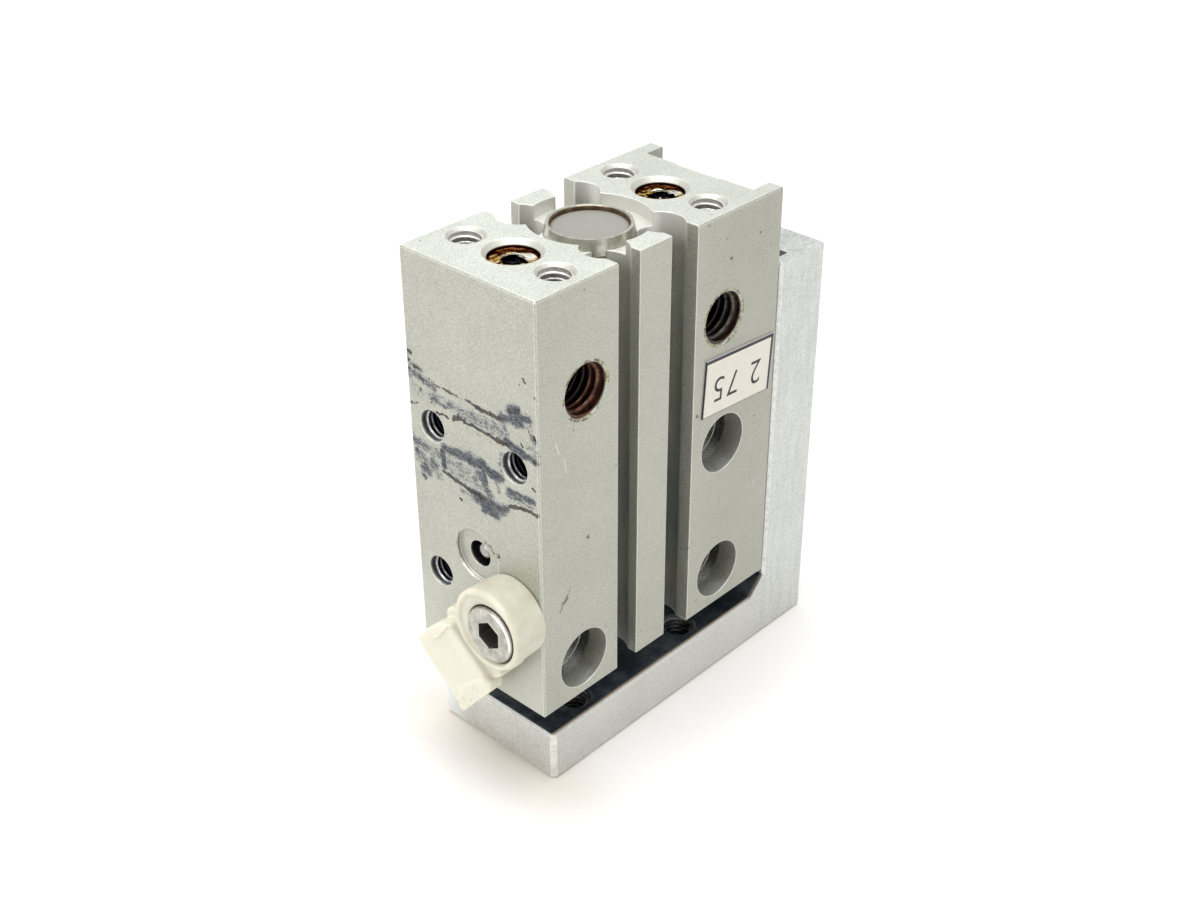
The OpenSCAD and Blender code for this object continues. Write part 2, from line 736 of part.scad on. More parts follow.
module head_cover()
    color("#a39e9a")
    difference() {
        union() {
            rod(seat_r - ring_rim - snug, z_ring - eps, z_rim - cover_drop);
            rod(seat_r - snug, z_head_seat, z_ring);
            rod(bore_r - snug, z_head_plug, z_head_seat + eps);
            rod(nose_d / 2, z_head_nose, z_head_plug + eps);
        }
        oring_groove(z_oring_head);
        rod(bumper_spigot_r, z_head_nose - eps, z_head_nose + bumper_spigot_l + 0.2);
    }

module head_retaining_ring()
    color("#dcdcd2")
    difference() {
        union() {
            rod(seat_r - snug, z_ring, z_taper);
            translate([0, 0, z_taper - eps])
                cylinder(r1 = seat_r - snug, r2 = seat_r - ring_taper, h = z_rim - z_taper + eps);
        }
        rod(seat_r - ring_rim, z_ring - eps, z_rim + eps);
        translate([0, 0, z_rim - 0.1])
            cylinder(r1 = seat_r - ring_rim, r2 = seat_r - ring_rim + 0.15, h = 0.15);
    }

// O-ring squeezed between its groove and the bore
module oring(z)
    rotate_extrude() translate([bore_r - oring_d / 2, z]) circle(r = oring_d / 2 - snug, $fn = 24);

module head_cover_oring()
    color("#1d1d1f") oring(z_oring_head);

module head_bumper()
    color("#c9a24a") {
        rod(nose_d / 2, z_head_nose - bumper_l, z_head_nose);
        rod(bumper_spigot_r - snug, z_head_nose - eps, z_head_nose + bumper_spigot_l);
    }

module rod_cover()
    color("#b7a56a")
    difference() {
        union() {
            rod(seat_r - snug, z_rod_flange, z_rod_seat);
            rod(bore_r - snug, z_rod_seat - eps, z_rod_plug);
            rod(nose_d / 2, z_rod_plug - eps, z_rod_nose);
        }
        rod(rod_r + 0.2, z_rod_flange - eps, z_rod_nose + eps);
        rod(seal_r, z_seal, z_seal + seal_w);
        rod(bush_seat_r, z_rod_plug - bush_l, z_rod_nose + eps);
        oring_groove(z_oring_rod);
    }

module rod_bush()
    color("#a8743a") ring(bush_seat_r - snug, rod_r + rod_fit, z_rod_plug - bush_l, z_rod_plug);

module rod_seal()
    color("#1d1d1f")
    rotate_extrude()
        polygon([
            for (p = [
                [0.1, 0.05], [0.9, 0.05], [0.9, 1.45], [0.6, 1.45],
                [0.6, 0.8], [0.4, 0.8], [0.02, 1.4], [0.02, 1.1]
            ])
                [min(rod_r + p[0], seal_r - snug), z_seal + p[1]]
        ]);

module rod_cover_oring()
    color("#1d1d1f") oring(z_oring_rod);

// Open snap ring with an eye at each end
module rod_cover_snap_ring()
    color("#6f7274")
    translate([0, 0, z_snap])
        linear_extrude(snap_t - 0.05) {
            difference() {
                circle(r = seat_r + snap_groove - snug);
                translate([0, 0.12]) circle(r = seat_r - 0.5);
                translate([-0.9, -seat_r - 1]) square([1.8, 2]);
            }
            for (s = [-1, 1])
                translate([s * 1.25, -seat_r + snap_eye_r])
                    difference() {
                        circle(r = snap_eye_r);
                        circle(r = snap_eye_hole_r);
                    }
        }

module rod_bumper()
    color("#c9a24a") ring(nose_d / 2, rod_r + 0.15, z_rod_nose, z_rod_nose + bumper_l);

module passage_balls()
    color("#c8ab62")
    for (s = [-1, 1]) translate([s * passage_x, 0, ball_z]) sphere(d = passage_ball_d);

module cross_hole_balls()
    color("#c9cccd") {
        translate([-narrow_side + spot_l + ball_gap + cross_ball_r, 0, z_cross_rod])
            sphere(d = cross_ball_d);
        translate([x_rail - ball_gap - cross_ball_r, 0, z_cross_head]) sphere(d = cross_ball_d);
    }

// Cross-section of the rail, with a race in each side
module rail_section()
    difference() {
        polygon([
            [x_rail, -rail_w / 2], [x_rail_top - 0.35, -rail_w / 2], [x_rail_top, -rail_w / 2 + 0.35],
            [x_rail_top, rail_w / 2 - 0.35], [x_rail_top - 0.35, rail_w / 2], [x_rail, rail_w / 2]
        ]);
        for (s = [-1, 1])
            translate([race_x, s * race_y]) circle(r = race_r);
    }

// Places of the rail's screws, pointing into the rail's top
module at_rail_screws()
    for (i = [-1 : 1])
        translate([x_rail, 0, z_rail_mid + i * rail_pitch]) into_plus_x() children();

module guide_rail()
    color("#8f9396")
    difference() {
        translate([0, 0, z_rail]) linear_extrude(rail_l) rail_section();
        at_rail_screws() {
            translate([0, 0, -eps]) cylinder(d = m2_d + 0.3, h = rail_h + 1);
            translate([0, 0, z_rail_head]) cylinder(d = rail_head_d + 0.2, h = rail_h);
        }
    }

module rail_screws()
    color("#6f7274")
    at_rail_screws() {
        difference() {
            translate([0, 0, z_rail_head]) cylinder(d = rail_head_d, h = rail_head_l);
            translate([0, 0, rail_h - 0.55]) cylinder(d = 1.3 / cos(30), h = 1, $fn = 6);
        }
        translate([0, 0, -rail_screw_l])
            cylinder(d = m2_d - 2 * thread_fit, h = rail_screw_l + z_rail_head + eps);
    }

// Tie mount: an eye round the screw, a neck with a lug on each side, and the saddle of the tie
module tie_mount()
    color("#e9ead6")
    translate([-narrow_side, eye_y, z_side_low]) rotate([-neck_angle, 0, 0]) {
        difference() {
            union() {
                translate([0, 0, eye_shift]) rotate([0, -90, 0])
                    cylinder(r = eye_r, h = eye_t - 0.3);
                translate([-eye_t + 0.3, 0, eye_shift]) rotate([0, -90, 0])
                    cylinder(r1 = eye_r, r2 = eye_r - 0.3, h = 0.3);
                translate([-eye_t + 0.9, 0, -neck_w / 2])
                    cube([eye_t - 0.9, saddle_reach - saddle_t + 0.5, neck_w]);
                translate([0, saddle_reach - saddle_t, 0]) rotate([0, 0, 90])
                    broken_box([0, 0, -saddle_l / 2], [saddle_t, eye_t - 0.1, saddle_l / 2], 0.6);
                for (side = [-1, 1])
                    translate([-lug_lift, lug_along, side * (neck_w / 2 + lug_r / 2)])
                        rotate([0, -90, 0]) cylinder(r = lug_r, h = lug_l);
            }
            rotate([0, -90, 0]) translate([0, 0, eye_t - head_l]) cylinder(r = head_r + 0.1, h = head_l + 1);
            rotate([0, -90, 0]) translate([0, 0, -eps]) cylinder(d = m3_d + 0.2, h = eye_t + 1);
        }
    }

module tie_mount_screw()
    color("#a9a8a2")
    translate([x_eye_floor, eye_y, z_side_low]) rotate([0, -90, 0])
        cap_screw(m3_d, 2 * head_r, head_l, m3_l - 0.5 + eye_t - head_l, 2.5);

module label_sticker()
    color("#e6e0cc")
    translate([label_x, -half_t, label_z]) rotate([0, label_turn, 0])
        translate([-label_w / 2, -label_t, -label_h / 2]) cube([label_w, label_t, label_h]);

table();
guide_block();
guide_block_end_caps();
guide_balls();
guide_block_screws();
piston_rod();
rod_end_screw();
rod_end_washer();
rod_floating_bush();
magnet_holder();
piston_magnet();
piston();
piston_seal();
cylinder_body();
head_cover();
head_retaining_ring();
head_cover_oring();
head_bumper();
rod_cover();
rod_bush();
rod_seal();
rod_cover_oring();
rod_cover_snap_ring();
rod_bumper();
passage_balls();
cross_hole_balls();
guide_rail();
rail_screws();
tie_mount();
tie_mount_screw();
label_sticker();
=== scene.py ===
"""Looks of a pneumatic slide table: used anodised aluminium, cut threads, a moulded tie mount
and a printed sticker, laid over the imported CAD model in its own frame. Lengths are in metres."""

import math

import bmesh
import bpy
from mathutils import Matrix, Vector


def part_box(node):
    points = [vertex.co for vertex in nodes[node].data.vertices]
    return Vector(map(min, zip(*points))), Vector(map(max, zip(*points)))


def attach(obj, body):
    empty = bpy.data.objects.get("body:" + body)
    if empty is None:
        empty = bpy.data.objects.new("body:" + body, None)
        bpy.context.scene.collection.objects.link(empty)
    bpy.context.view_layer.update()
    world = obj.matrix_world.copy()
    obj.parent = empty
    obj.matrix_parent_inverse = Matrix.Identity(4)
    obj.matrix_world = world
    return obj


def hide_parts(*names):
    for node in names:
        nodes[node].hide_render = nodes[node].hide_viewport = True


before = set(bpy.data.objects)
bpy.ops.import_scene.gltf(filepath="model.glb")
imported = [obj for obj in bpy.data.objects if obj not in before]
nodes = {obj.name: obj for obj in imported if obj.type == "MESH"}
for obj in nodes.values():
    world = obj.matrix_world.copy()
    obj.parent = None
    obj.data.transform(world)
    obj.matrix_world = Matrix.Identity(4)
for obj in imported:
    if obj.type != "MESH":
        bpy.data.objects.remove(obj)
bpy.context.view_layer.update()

MM = 0.001
CYLINDER = "cylinder_assembly"
TABLE = "table_assembly"

# ------------------------------------------------------------------ camera and stage
# The part stands on its foot on a white sheet, seen from above and from the corner between
# the face with the tie mount and the face with the air ports.
camera_place = Vector((-96.50, -91.25, 109.02)) * MM
azimuth, elevation, roll = math.radians(46.966), math.radians(31.549), math.radians(-0.122)
lens = bpy.data.cameras.new("camera")
lens.lens = 50.19
lens.sensor_width = 36
lens.clip_start = 10 * MM
camera = bpy.data.objects.new("camera", lens)
camera.matrix_world = (
    Matrix.Translation(camera_place)
    @ Matrix.Rotation(-azimuth, 4, "Z")
    @ Matrix.Rotation(math.pi / 2 - elevation, 4, "X")
    @ Matrix.Rotation(roll, 4, "Z")
)
scene = bpy.context.scene
scene.collection.objects.link(camera)
scene.camera = camera
scene.view_settings.view_transform = "Standard"


def put(tree, kind, inputs=(), **settings):
    """Adds a node with its settings, sets or links its inputs by place or name, and returns it."""
    made = tree.nodes.new(kind)
    for name, value in settings.items():
        setattr(made, name, value)
    pairs = inputs.items() if isinstance(inputs, dict) else enumerate(inputs)
    for key, value in pairs:
        if isinstance(value, bpy.types.NodeSocket):
            tree.links.new(value, made.inputs[key])
        elif value is not None:
            made.inputs[key].default_value = value
    return made


def maths(tree, operation, *values, clamp=False):
    """One Math node's result."""
    return put(tree, "ShaderNodeMath", values, operation=operation, use_clamp=clamp).outputs[0]


def vectors(tree, operation, *values, out="Vector"):
    """One Vector Math node's result."""
    return put(tree, "ShaderNodeVectorMath", values, operation=operation).outputs[out]


def times(tree, first, second, clamp=False):
    """Two masks or values multiplied."""
    return maths(tree, "MULTIPLY", first, second, clamp=clamp)


def greater(tree, first, second):
    """The greater of two masks or values."""
    return maths(tree, "MAXIMUM", first, second)


def parts(tree, vector):
    """A vector's X, Y and Z."""
    return put(tree, "ShaderNodeSeparateXYZ", (vector,)).outputs


def added(name, data):
    """A new object in the scene."""
    made = bpy.data.objects.new(name, data)
    scene.collection.objects.link(made)
    return made


def seen_by_eye(tree):
    """1 where the viewer, a mirror or a glass looks, and 0 for the light that falls on things."""
    path = put(tree, "ShaderNodeLightPath").outputs
    either = greater(tree, path["Is Camera Ray"], path["Is Glossy Ray"])
    return greater(tree, either, path["Is Transmission Ray"])


FLOOR_GLOW = 0.10      # share of the sheet's white that no shadow takes away
FLOOR_WHITE = (0.92, 0.91, 0.90, 1)
FLOOR_BOUNCE_TONE = (0.79, 0.72, 0.64, 1)    # painted warm bounce light from the metal close beside the foot
FLOOR_FADE = 9 * MM    # how far out that tone reaches
FILL_LIGHT = 0.48      # how bright the white room is as a lamp

floor_mesh = bpy.data.meshes.new("floor")
reach = 1.5
floor_mesh.from_pydata(
    [(-reach, -reach, 0), (reach, -reach, 0), (reach, reach, 0), (-reach, reach, 0)], [], [(0, 1, 2, 3)]
)
floor = added("floor", floor_mesh)
sheet_white = bpy.data.materials.new("white_sheet")
sheet_white.use_nodes = True
tree = sheet_white.node_tree
tree.nodes.clear()
spot = put(tree, "ShaderNodeTexCoord").outputs["Object"]
# How far the spot lies outside the foot's rectangle
beside = vectors(tree, "ABSOLUTE", vectors(tree, "SUBTRACT", spot, (5.8 * MM, 0, 0)))
beside = vectors(tree, "MAXIMUM", vectors(tree, "SUBTRACT", beside, (19 * MM, 7.5 * MM, 0)), (0, 0, 0))
beside = vectors(tree, "LENGTH", beside, out="Value")
# Painted warm bounce light on the sheet close beside the foot, stronger by its left end
fading = {"Value": beside, "From Max": FLOOR_FADE, "To Min": 1.0, "To Max": 0.0}
painted_bounce = put(tree, "ShaderNodeMapRange", fading).outputs[0]
left_part = parts(tree, spot)["X"]
left_part = put(tree, "ShaderNodeMapRange", (left_part, -13 * MM, -8 * MM, 1.0, 0.3)).outputs[0]
painted_bounce = times(tree, painted_bounce, left_part)
tone = put(tree, "ShaderNodeMix", {0: painted_bounce, 6: FLOOR_WHITE, 7: FLOOR_BOUNCE_TONE}, data_type="RGBA").outputs[2]
lit = put(tree, "ShaderNodeBsdfDiffuse", {"Color": tone}).outputs[0]
glow = put(tree, "ShaderNodeEmission", {"Color": (1, 1, 1, 1), "Strength": 1.0}).outputs[0]
share = times(tree, seen_by_eye(tree), FLOOR_GLOW)
both = put(tree, "ShaderNodeMixShader", (share, lit, glow)).outputs[0]
put(tree, "ShaderNodeOutputMaterial", (both,))
floor_mesh.materials.append(sheet_white)

world = bpy.data.worlds.new("white_room")
scene.world = world
world.use_nodes = True
tree = world.node_tree
tree.nodes.clear()
brightness = put(tree, "ShaderNodeMapRange", {"Value": seen_by_eye(tree), "To Min": FILL_LIGHT}).outputs[0]
room = put(tree, "ShaderNodeBackground", {"Color": (1, 1, 1, 1), "Strength": brightness}).outputs[0]
put(tree, "ShaderNodeOutputWorld", (room,))


def softbox(name, place, target, size, power, colour):
    """A square lamp that faces its target and isn't itself in the picture."""
    lamp = bpy.data.lights.new(name, "AREA")
    lamp.size = size
    lamp.energy = power
    lamp.color = colour
    holder = added(name, lamp)
    holder.location = place
    holder.rotation_euler = (Vector(target) - Vector(place)).to_track_quat("-Z", "Y").to_euler()
    holder.visible_camera = False


middle = (0, 0, 25 * MM)
softbox("top_softbox", (-0.05, 0.05, 1.50), middle, 1.40, 26.5, (0.985, 1.0, 1.0))
softbox("left_softbox", (-1.50, 0.20, 0.38), middle, 1.30, 8.3, (0.97, 0.985, 1.0))

# ------------------------------------------------------------------ cylinder body
# Drawn and milled aluminium under a thin clear anodised skin, satin and finely speckled, with
# years of handling: wiped slate-grey rubber marks round the screw holes of the narrow face, oil
# in the ports, sealant in the two ball holes and grime in the switch grooves. Light and shade
# are painted on as well: the up-facing end lighter, painted shade down the grooves and holes,
# and painted highlights on some chamfers and hole walls.
body_low, body_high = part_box("cylinder_body")
narrow_x, wide_y, head_z, rod_z = body_low.x, body_low.y, body_high.z, body_low.z
PORT_X, PORT_Z, PORT_R = 9.0 * MM, 40.65 * MM, 2.5 * MM
BALL_X, BALL_R = 9.2 * MM, 2.25 * MM
SIDE_HOLE_Y, SIDE_HOLE_LOW, SIDE_HOLE_HIGH, M3_R = 5.1 * MM, 18.95 * MM, 34.45 * MM, 1.5 * MM
GROOVE_X, GROOVE_Y, GROOVE_R = 3.525 * MM, 5.0 * MM, 2.2 * MM
CROSS_BALL_Z = 23.15 * MM
four_ways = [(x, y) for x in (-1, 1) for y in (-1, 1)]
HEAD_HOLES = [(x * 9.6 * MM, y * 5.25 * MM) for x, y in four_ways]
SIDE_HOLES = [(SIDE_HOLE_Y, SIDE_HOLE_HIGH), (-SIDE_HOLE_Y, SIDE_HOLE_HIGH), (SIDE_HOLE_Y, SIDE_HOLE_LOW)]
BODY_GREY = (0.442, 0.442, 0.382, 1)
TOP_PAINTED_LIGHTER_GREY = (0.590, 0.602, 0.545, 1)    # the up-facing end, painted lighter as light from above
VECTOR, FLOAT, COLOR = "NodeSocketVector", "NodeSocketFloat", "NodeSocketColor"
NO_VECTOR = (VECTOR, (0, 0, 0))


def effect(name, inputs, outputs):
    """Starts a shader node group; returns its tree, its inputs' sockets and its output node."""
    tree = bpy.data.node_groups.new(name, "ShaderNodeTree")
    for label, (kind, value) in inputs.items():
        socket = tree.interface.new_socket(label, in_out="INPUT", socket_type=kind)
        socket.default_value = value
    for label, kind in outputs.items():
        tree.interface.new_socket(label, in_out="OUTPUT", socket_type=kind)
    return tree, put(tree, "NodeGroupInput").outputs, put(tree, "NodeGroupOutput")


def use(tree, group, **values):
    """Places an effect in a material; an underscore in a value's name is a space in the socket's."""
    inputs = {label.replace("_", " "): value for label, value in values.items()}
    made = tree.nodes.new("ShaderNodeGroup")
    made.node_tree = group
    for label, value in inputs.items():
        if isinstance(value, bpy.types.NodeSocket):
            tree.links.new(value, made.inputs[label])
        else:
            made.inputs[label].default_value = value
    return made.outputs


def ramp(tree, value, low, high, start=0.0, end=1.0):
    """A smooth rise from start to end while value goes from low to high."""
    given = {"Value": value, "From Min": low, "From Max": high, "To Min": start, "To Max": end}
    return put(tree, "ShaderNodeMapRange", given, interpolation_type="SMOOTHSTEP", clamp=False).outputs[0]


def lay(tree, mask, under, over, share=None):
    """Colour over laid on colour under where mask is 1, or that share of it."""
    inputs = {0: mask if share is None else times(tree, mask, share), 6: under, 7: over}
    return put(tree, "ShaderNodeMix", inputs, data_type="RGBA").outputs[2]


def tint_by(tree, colour, factor, mask=1.0):
    """A colour multiplied by a factor where mask is 1."""
    given = {0: mask, 6: colour, 7: factor}
    return put(tree, "ShaderNodeMix", given, data_type="RGBA", blend_type="MULTIPLY").outputs[2]


def around(tree, value, strength, base):
    """The base raised or lowered as a noise's value goes above or below its middle."""
    return maths(tree, "MULTIPLY_ADD", maths(tree, "SUBTRACT", value, 0.5), strength, base)


def noise(tree, point, size, detail=2.0, stretch=(1, 1, 1), rough=0.5):
    """Cloudy noise from 0 to 1 whose blotches are about size across, stretched along the axes."""
    scaled = put(tree, "ShaderNodeMapping", {"Vector": point, "Scale": [1 / (size * s) for s in stretch]})
    given = {"Vector": scaled.outputs[0], "Scale": 1.0, "Detail": detail, "Roughness": rough}
    return put(tree, "ShaderNodeTexNoise", given).outputs[0]


# Fine speckle, cloudy mottling and tiny dark pits of a satin metal skin
satin, given, result = effect(
    "satin_skin",
    {"Point": NO_VECTOR, "Speckle": (FLOAT, 0.1), "Mottle": (FLOAT, 0.1), "Pits": (FLOAT, 0.3)},
    {"Shade": FLOAT, "Height": FLOAT, "Pit": FLOAT},
)
fine = noise(satin, given["Point"], 0.17 * MM, detail=2, rough=0.65)
cloud = noise(satin, given["Point"], 0.75 * MM, detail=3)
broad = noise(satin, given["Point"], 5 * MM, detail=1)
shade = around(satin, fine, given["Speckle"], 1.0)
shade = around(satin, cloud, given["Mottle"], shade)
shade = around(satin, broad, given["Mottle"], shade)
cells = put(satin, "ShaderNodeTexVoronoi", {"Vector": given["Point"], "Scale": 1 / (1.3 * MM)}).outputs
chosen = ramp(satin, put(satin, "ShaderNodeSeparateColor", (cells["Color"],)).outputs[0], 0.86, 0.88)
spot = ramp(satin, cells["Distance"], 0.10, 0.05)
pit = times(satin, times(satin, chosen, spot), given["Pits"])
satin.links.new(shade, result.inputs["Shade"])
satin.links.new(maths(satin, "SUBTRACT", fine, pit), result.inputs["Height"])
satin.links.new(pit, result.inputs["Pit"])

# A straight mark or the inside of a drilled hole: 1 within Radius of the line From - To
line_inputs = {"Point": NO_VECTOR, "From": NO_VECTOR, "To": NO_VECTOR}
line_inputs |= {"Radius": (FLOAT, MM), "Soft": (FLOAT, 0.05 * MM)}
capsule, given, result = effect("capsule", line_inputs, {"Mask": FLOAT})
along = vectors(capsule, "SUBTRACT", given["To"], given["From"])
away = vectors(capsule, "SUBTRACT", given["Point"], given["From"])
reached = vectors(capsule, "DOT_PRODUCT", away, along, out="Value")
whole = vectors(capsule, "DOT_PRODUCT", along, along, out="Value")
run = maths(capsule, "MINIMUM", maths(capsule, "DIVIDE", reached, whole), 1.0)
run = greater(capsule, run, 0.0)
nearest = put(capsule, "ShaderNodeVectorMath", {0: along, "Scale": run}, operation="SCALE").outputs[0]
gap = vectors(capsule, "LENGTH", vectors(capsule, "SUBTRACT", away, nearest), out="Value")
inner = maths(capsule, "SUBTRACT", given["Radius"], given["Soft"])
outer = maths(capsule, "ADD", given["Radius"], given["Soft"])
capsule.links.new(ramp(capsule, gap, outer, inner), result.inputs["Mask"])

# Rounded edges: a softened normal, and a mask of the edges that handling has brightened
edges, given, result = effect("worn_edges", {"Width": (FLOAT, 0.1 * MM)}, {"Normal": VECTOR, "Worn": FLOAT})
rounded = put(edges, "ShaderNodeBevel", {"Radius": given["Width"]}, samples=6).outputs[0]
flat = put(edges, "ShaderNodeNewGeometry").outputs["Normal"]
agree = vectors(edges, "DOT_PRODUCT", rounded, flat, out="Value")
edges.links.new(rounded, result.inputs["Normal"])
edges.links.new(ramp(edges, agree, 0.985, 0.90), result.inputs["Worn"])


def surface(name, metallic, **constants):
    """Starts a material; returns it, its tree, its shader and the point on the piece."""
    material = bpy.data.materials.new(name)
    material.use_nodes = True
    tree = material.node_tree
    shader = tree.nodes["Principled BSDF"]
    shader.inputs["Metallic"].default_value = metallic
    for label, value in constants.items():
        shader.inputs[label.replace("_", " ")].default_value = value
    return material, tree, shader, put(tree, "ShaderNodeTexCoord").outputs["Object"]


def finish(tree, shader, colour, rough, height=None, depth=0.004 * MM, normal=None):
    """Links the colour, roughness and relief of a material to its shader."""
    tree.links.new(colour, shader.inputs["Base Color"])
    tree.links.new(rough, shader.inputs["Roughness"])
    if height is not None:
        given = {"Height": height, "Distance": depth, "Strength": 1.0, "Normal": normal}
        normal = put(tree, "ShaderNodeBump", given).outputs[0]
    if normal is not None:
        tree.links.new(normal, shader.inputs["Normal"])


def paint(material, *names):
    """Gives pieces of the CAD model their material."""
    for name in names:
        nodes[name].material_slots[0].material = material


def strokes(tree, point, lines, plane, soft):
    """The greatest of several capsule marks on one face; plane turns a line's two numbers in
    millimetres into a point on that face, and soft is the share of its width that fades."""
    total = None
    for first, last, width, strength in lines:
        ends = {"From": plane(first), "To": plane(last)}
        inside = use(tree, capsule, Point=point, Radius=width * MM, Soft=soft * width * MM, **ends)["Mask"]
        mark = times(tree, inside, strength)
        total = mark if total is None else greater(tree, total, mark)
    return total


def holes(tree, point, places, radius, soft=0.05 * MM):
    """1 inside any of several drilled holes; places are pairs of points on their axes."""
    total = None
    for start, end in places:
        inside = use(tree, capsule, Point=point, From=start, To=end, Radius=radius, Soft=soft)["Mask"]
        total = inside if total is None else greater(tree, total, inside)
    return total


def flat_normal(tree):
    """X, Y and Z of the way a face looks, edges and relief left out."""
    return parts(tree, put(tree, "ShaderNodeNewGeometry").outputs["True Normal"])


def on_narrow(pair):
    return narrow_x, pair[0] * MM, pair[1] * MM


def on_wide(pair):
    return pair[0] * MM, wide_y, pair[1] * MM


body_metal, tree, shader, point = surface("body_satin_anodised", 0.65)
skin = use(tree, satin, Point=point, Speckle=1.05, Mottle=0.16, Pits=0.9)
edge = use(tree, edges, Width=0.16 * MM)
# The up-facing end painted lighter than the sides, as light from above
colour = lay(tree, ramp(tree, flat_normal(tree)["Z"], 0.80, 0.95), BODY_GREY, TOP_PAINTED_LIGHTER_GREY)
colour = tint_by(tree, colour, skin["Shade"])
colour = lay(tree, skin["Pit"], colour, (0.16, 0.145, 0.12, 1))
axes = parts(tree, point)
colour = tint_by(tree, colour, (0.89, 0.89, 0.89, 1), ramp(tree, axes["X"], 0.0, 11 * MM))

# Grime in the four switch grooves, with painted shade that darkens down them
groove_lines = [((x * GROOVE_X, y * GROOVE_Y, 0), (x * GROOVE_X, y * GROOVE_Y, head_z)) for x, y in four_ways]
grooves = holes(tree, point, groove_lines, GROOVE_R + 0.1 * MM, 0.08 * MM)
settled = ramp(tree, noise(tree, point, 1.6 * MM, stretch=(1, 1, 5)), 0.2, 0.8, 0.02, 0.20)
grime_and_shade = times(tree, grooves, settled)
grime_and_shade = times(tree, grime_and_shade, ramp(tree, axes["Z"], head_z - 0.8 * MM, head_z - 5 * MM))
grime_and_shade = times(tree, grime_and_shade, ramp(tree, axes["Z"], head_z - 5 * MM, rod_z + 6 * MM, 1.0, 3.2))
colour = lay(tree, grime_and_shade, colour, (0.17, 0.20, 0.225, 1))

# Rubber marks on the narrow face, wiped along Y and broken up by the skin's grain. Each is from,
# to, half width and strength, in millimetres along Y and Z
WASHES = [
    # Left of the upper line, by the far edge
    ((7.9, 40.4), (7.6, 38.6), 0.40, 0.50), ((7.2, 39.8), (6.3, 39.7), 0.35, 0.62),
    ((7.0, 39.1), (4.6, 38.4), 0.42, 0.60), ((7.4, 37.6), (5.0, 37.1), 0.80, 0.28),
    # Between the upper line and the second line
    ((5.0, 37.6), (0.6, 37.4), 0.55, 0.42), ((4.9, 37.3), (3.0, 37.2), 0.30, 0.62),
    ((2.9, 37.5), (0.0, 37.7), 0.32, 0.52), ((1.4, 37.4), (-3.4, 37.3), 0.70, 0.46),
    ((-0.4, 37.9), (-3.2, 37.9), 0.35, 0.36), ((-2.8, 37.8), (-4.2, 37.0), 0.60, 0.44),
    # Dark patches above the right hole
    ((-4.9, 39.9), (-5.6, 40.2), 0.52, 1.00), ((-5.6, 39.5), (-6.9, 39.9), 0.42, 0.92),
    ((-3.6, 38.7), (-5.0, 39.3), 0.45, 0.78), ((-5.2, 38.9), (-6.2, 39.2), 0.40, 0.80),
    ((-3.9, 38.3), (-4.4, 37.5), 0.35, 0.50), ((-6.9, 39.6), (-7.6, 37.6), 0.40, 0.38),
    ((-6.9, 37.2), (-7.7, 36.9), 0.40, 0.42),
    # Second line, thick beside the right hole
    ((-4.2, 36.7), (-6.4, 36.3), 0.36, 1.00), ((-6.2, 36.3), (-7.6, 36.2), 0.38, 0.75),
    ((-4.6, 36.3), (-6.0, 36.0), 0.30, 0.70),
    # Third line, between the holes
    ((3.6, 32.8), (2.0, 32.8), 0.42, 0.82), ((2.2, 32.9), (0.2, 33.1), 0.50, 0.78),
    ((0.3, 32.9), (-1.2, 33.0), 0.55, 0.95), ((-0.8, 33.5), (-1.4, 33.4), 0.35, 0.72),
    ((-1.6, 32.9), (-3.3, 32.8), 0.42, 1.00), ((-2.1, 32.5), (-3.2, 32.4), 0.30, 0.80),
    ((1.8, 33.4), (-0.4, 33.5), 0.45, 0.42), ((3.2, 33.2), (1.4, 33.4), 0.35, 0.30),
    # Speckled field at the left
    ((7.7, 32.1), (6.2, 31.9), 0.55, 0.62), ((6.4, 32.0), (4.2, 31.9), 0.70, 0.46),
    ((6.9, 30.6), (5.4, 30.2), 0.80, 0.52), ((6.7, 29.6), (5.9, 29.3), 0.45, 0.72),
    ((6.7, 28.8), (6.4, 28.6), 0.28, 0.85), ((5.2, 31.5), (4.6, 29.6), 0.70, 0.44),
    ((3.9, 32.3), (3.8, 30.9), 0.34, 0.92), ((5.4, 30.9), (4.9, 30.4), 0.30, 0.66),
    ((7.4, 31.2), (7.2, 30.8), 0.22, 0.90), ((6.4, 30.1), (6.1, 29.7), 0.26, 0.82),
    # Wash between the third line and the lower line, with a darker streak across it
    ((3.6, 31.4), (-0.4, 31.2), 1.20, 0.40), ((1.6, 30.8), (-1.2, 30.6), 0.55, 0.40),
    ((-0.8, 32.2), (-1.9, 30.2), 0.55, 0.66), ((-1.2, 32.4), (-1.6, 31.6), 0.30, 0.86),
    ((-2.7, 32.3), (-3.1, 31.2), 0.26, 0.52), ((-1.5, 31.2), (-2.0, 30.4), 0.30, 0.70),
    # Lower line and the patch at its end
    ((0.2, 29.8), (-1.6, 29.6), 0.42, 0.92), ((-0.4, 29.4), (-2.8, 29.4), 0.60, 0.95),
    ((-1.2, 28.9), (-2.6, 28.7), 0.50, 0.95), ((-2.8, 29.5), (-4.0, 29.8), 0.42, 0.84),
    ((-1.0, 28.4), (-1.3, 28.3), 0.26, 0.82), ((1.6, 29.4), (0.2, 29.2), 0.40, 0.40),
    ((-3.2, 29.0), (-3.8, 29.3), 0.35, 0.50),
    # Band right of the pale arc
    ((-4.4, 31.9), (-7.3, 32.0), 0.36, 0.74), ((-4.3, 31.5), (-5.6, 31.6), 0.45, 0.66),
    ((-5.4, 31.3), (-7.4, 31.5), 0.30, 0.45), ((-4.4, 30.9), (-6.4, 31.2), 0.30, 0.30),
    # Faint wiping all round
    ((4.6, 34.6), (-3.0, 34.3), 0.55, 0.16), ((3.0, 28.9), (-0.6, 28.5), 0.60, 0.18),
    ((0.4, 35.9), (-3.6, 35.9), 0.40, 0.20), ((-3.6, 35.2), (-3.4, 33.4), 0.32, 0.42),
]
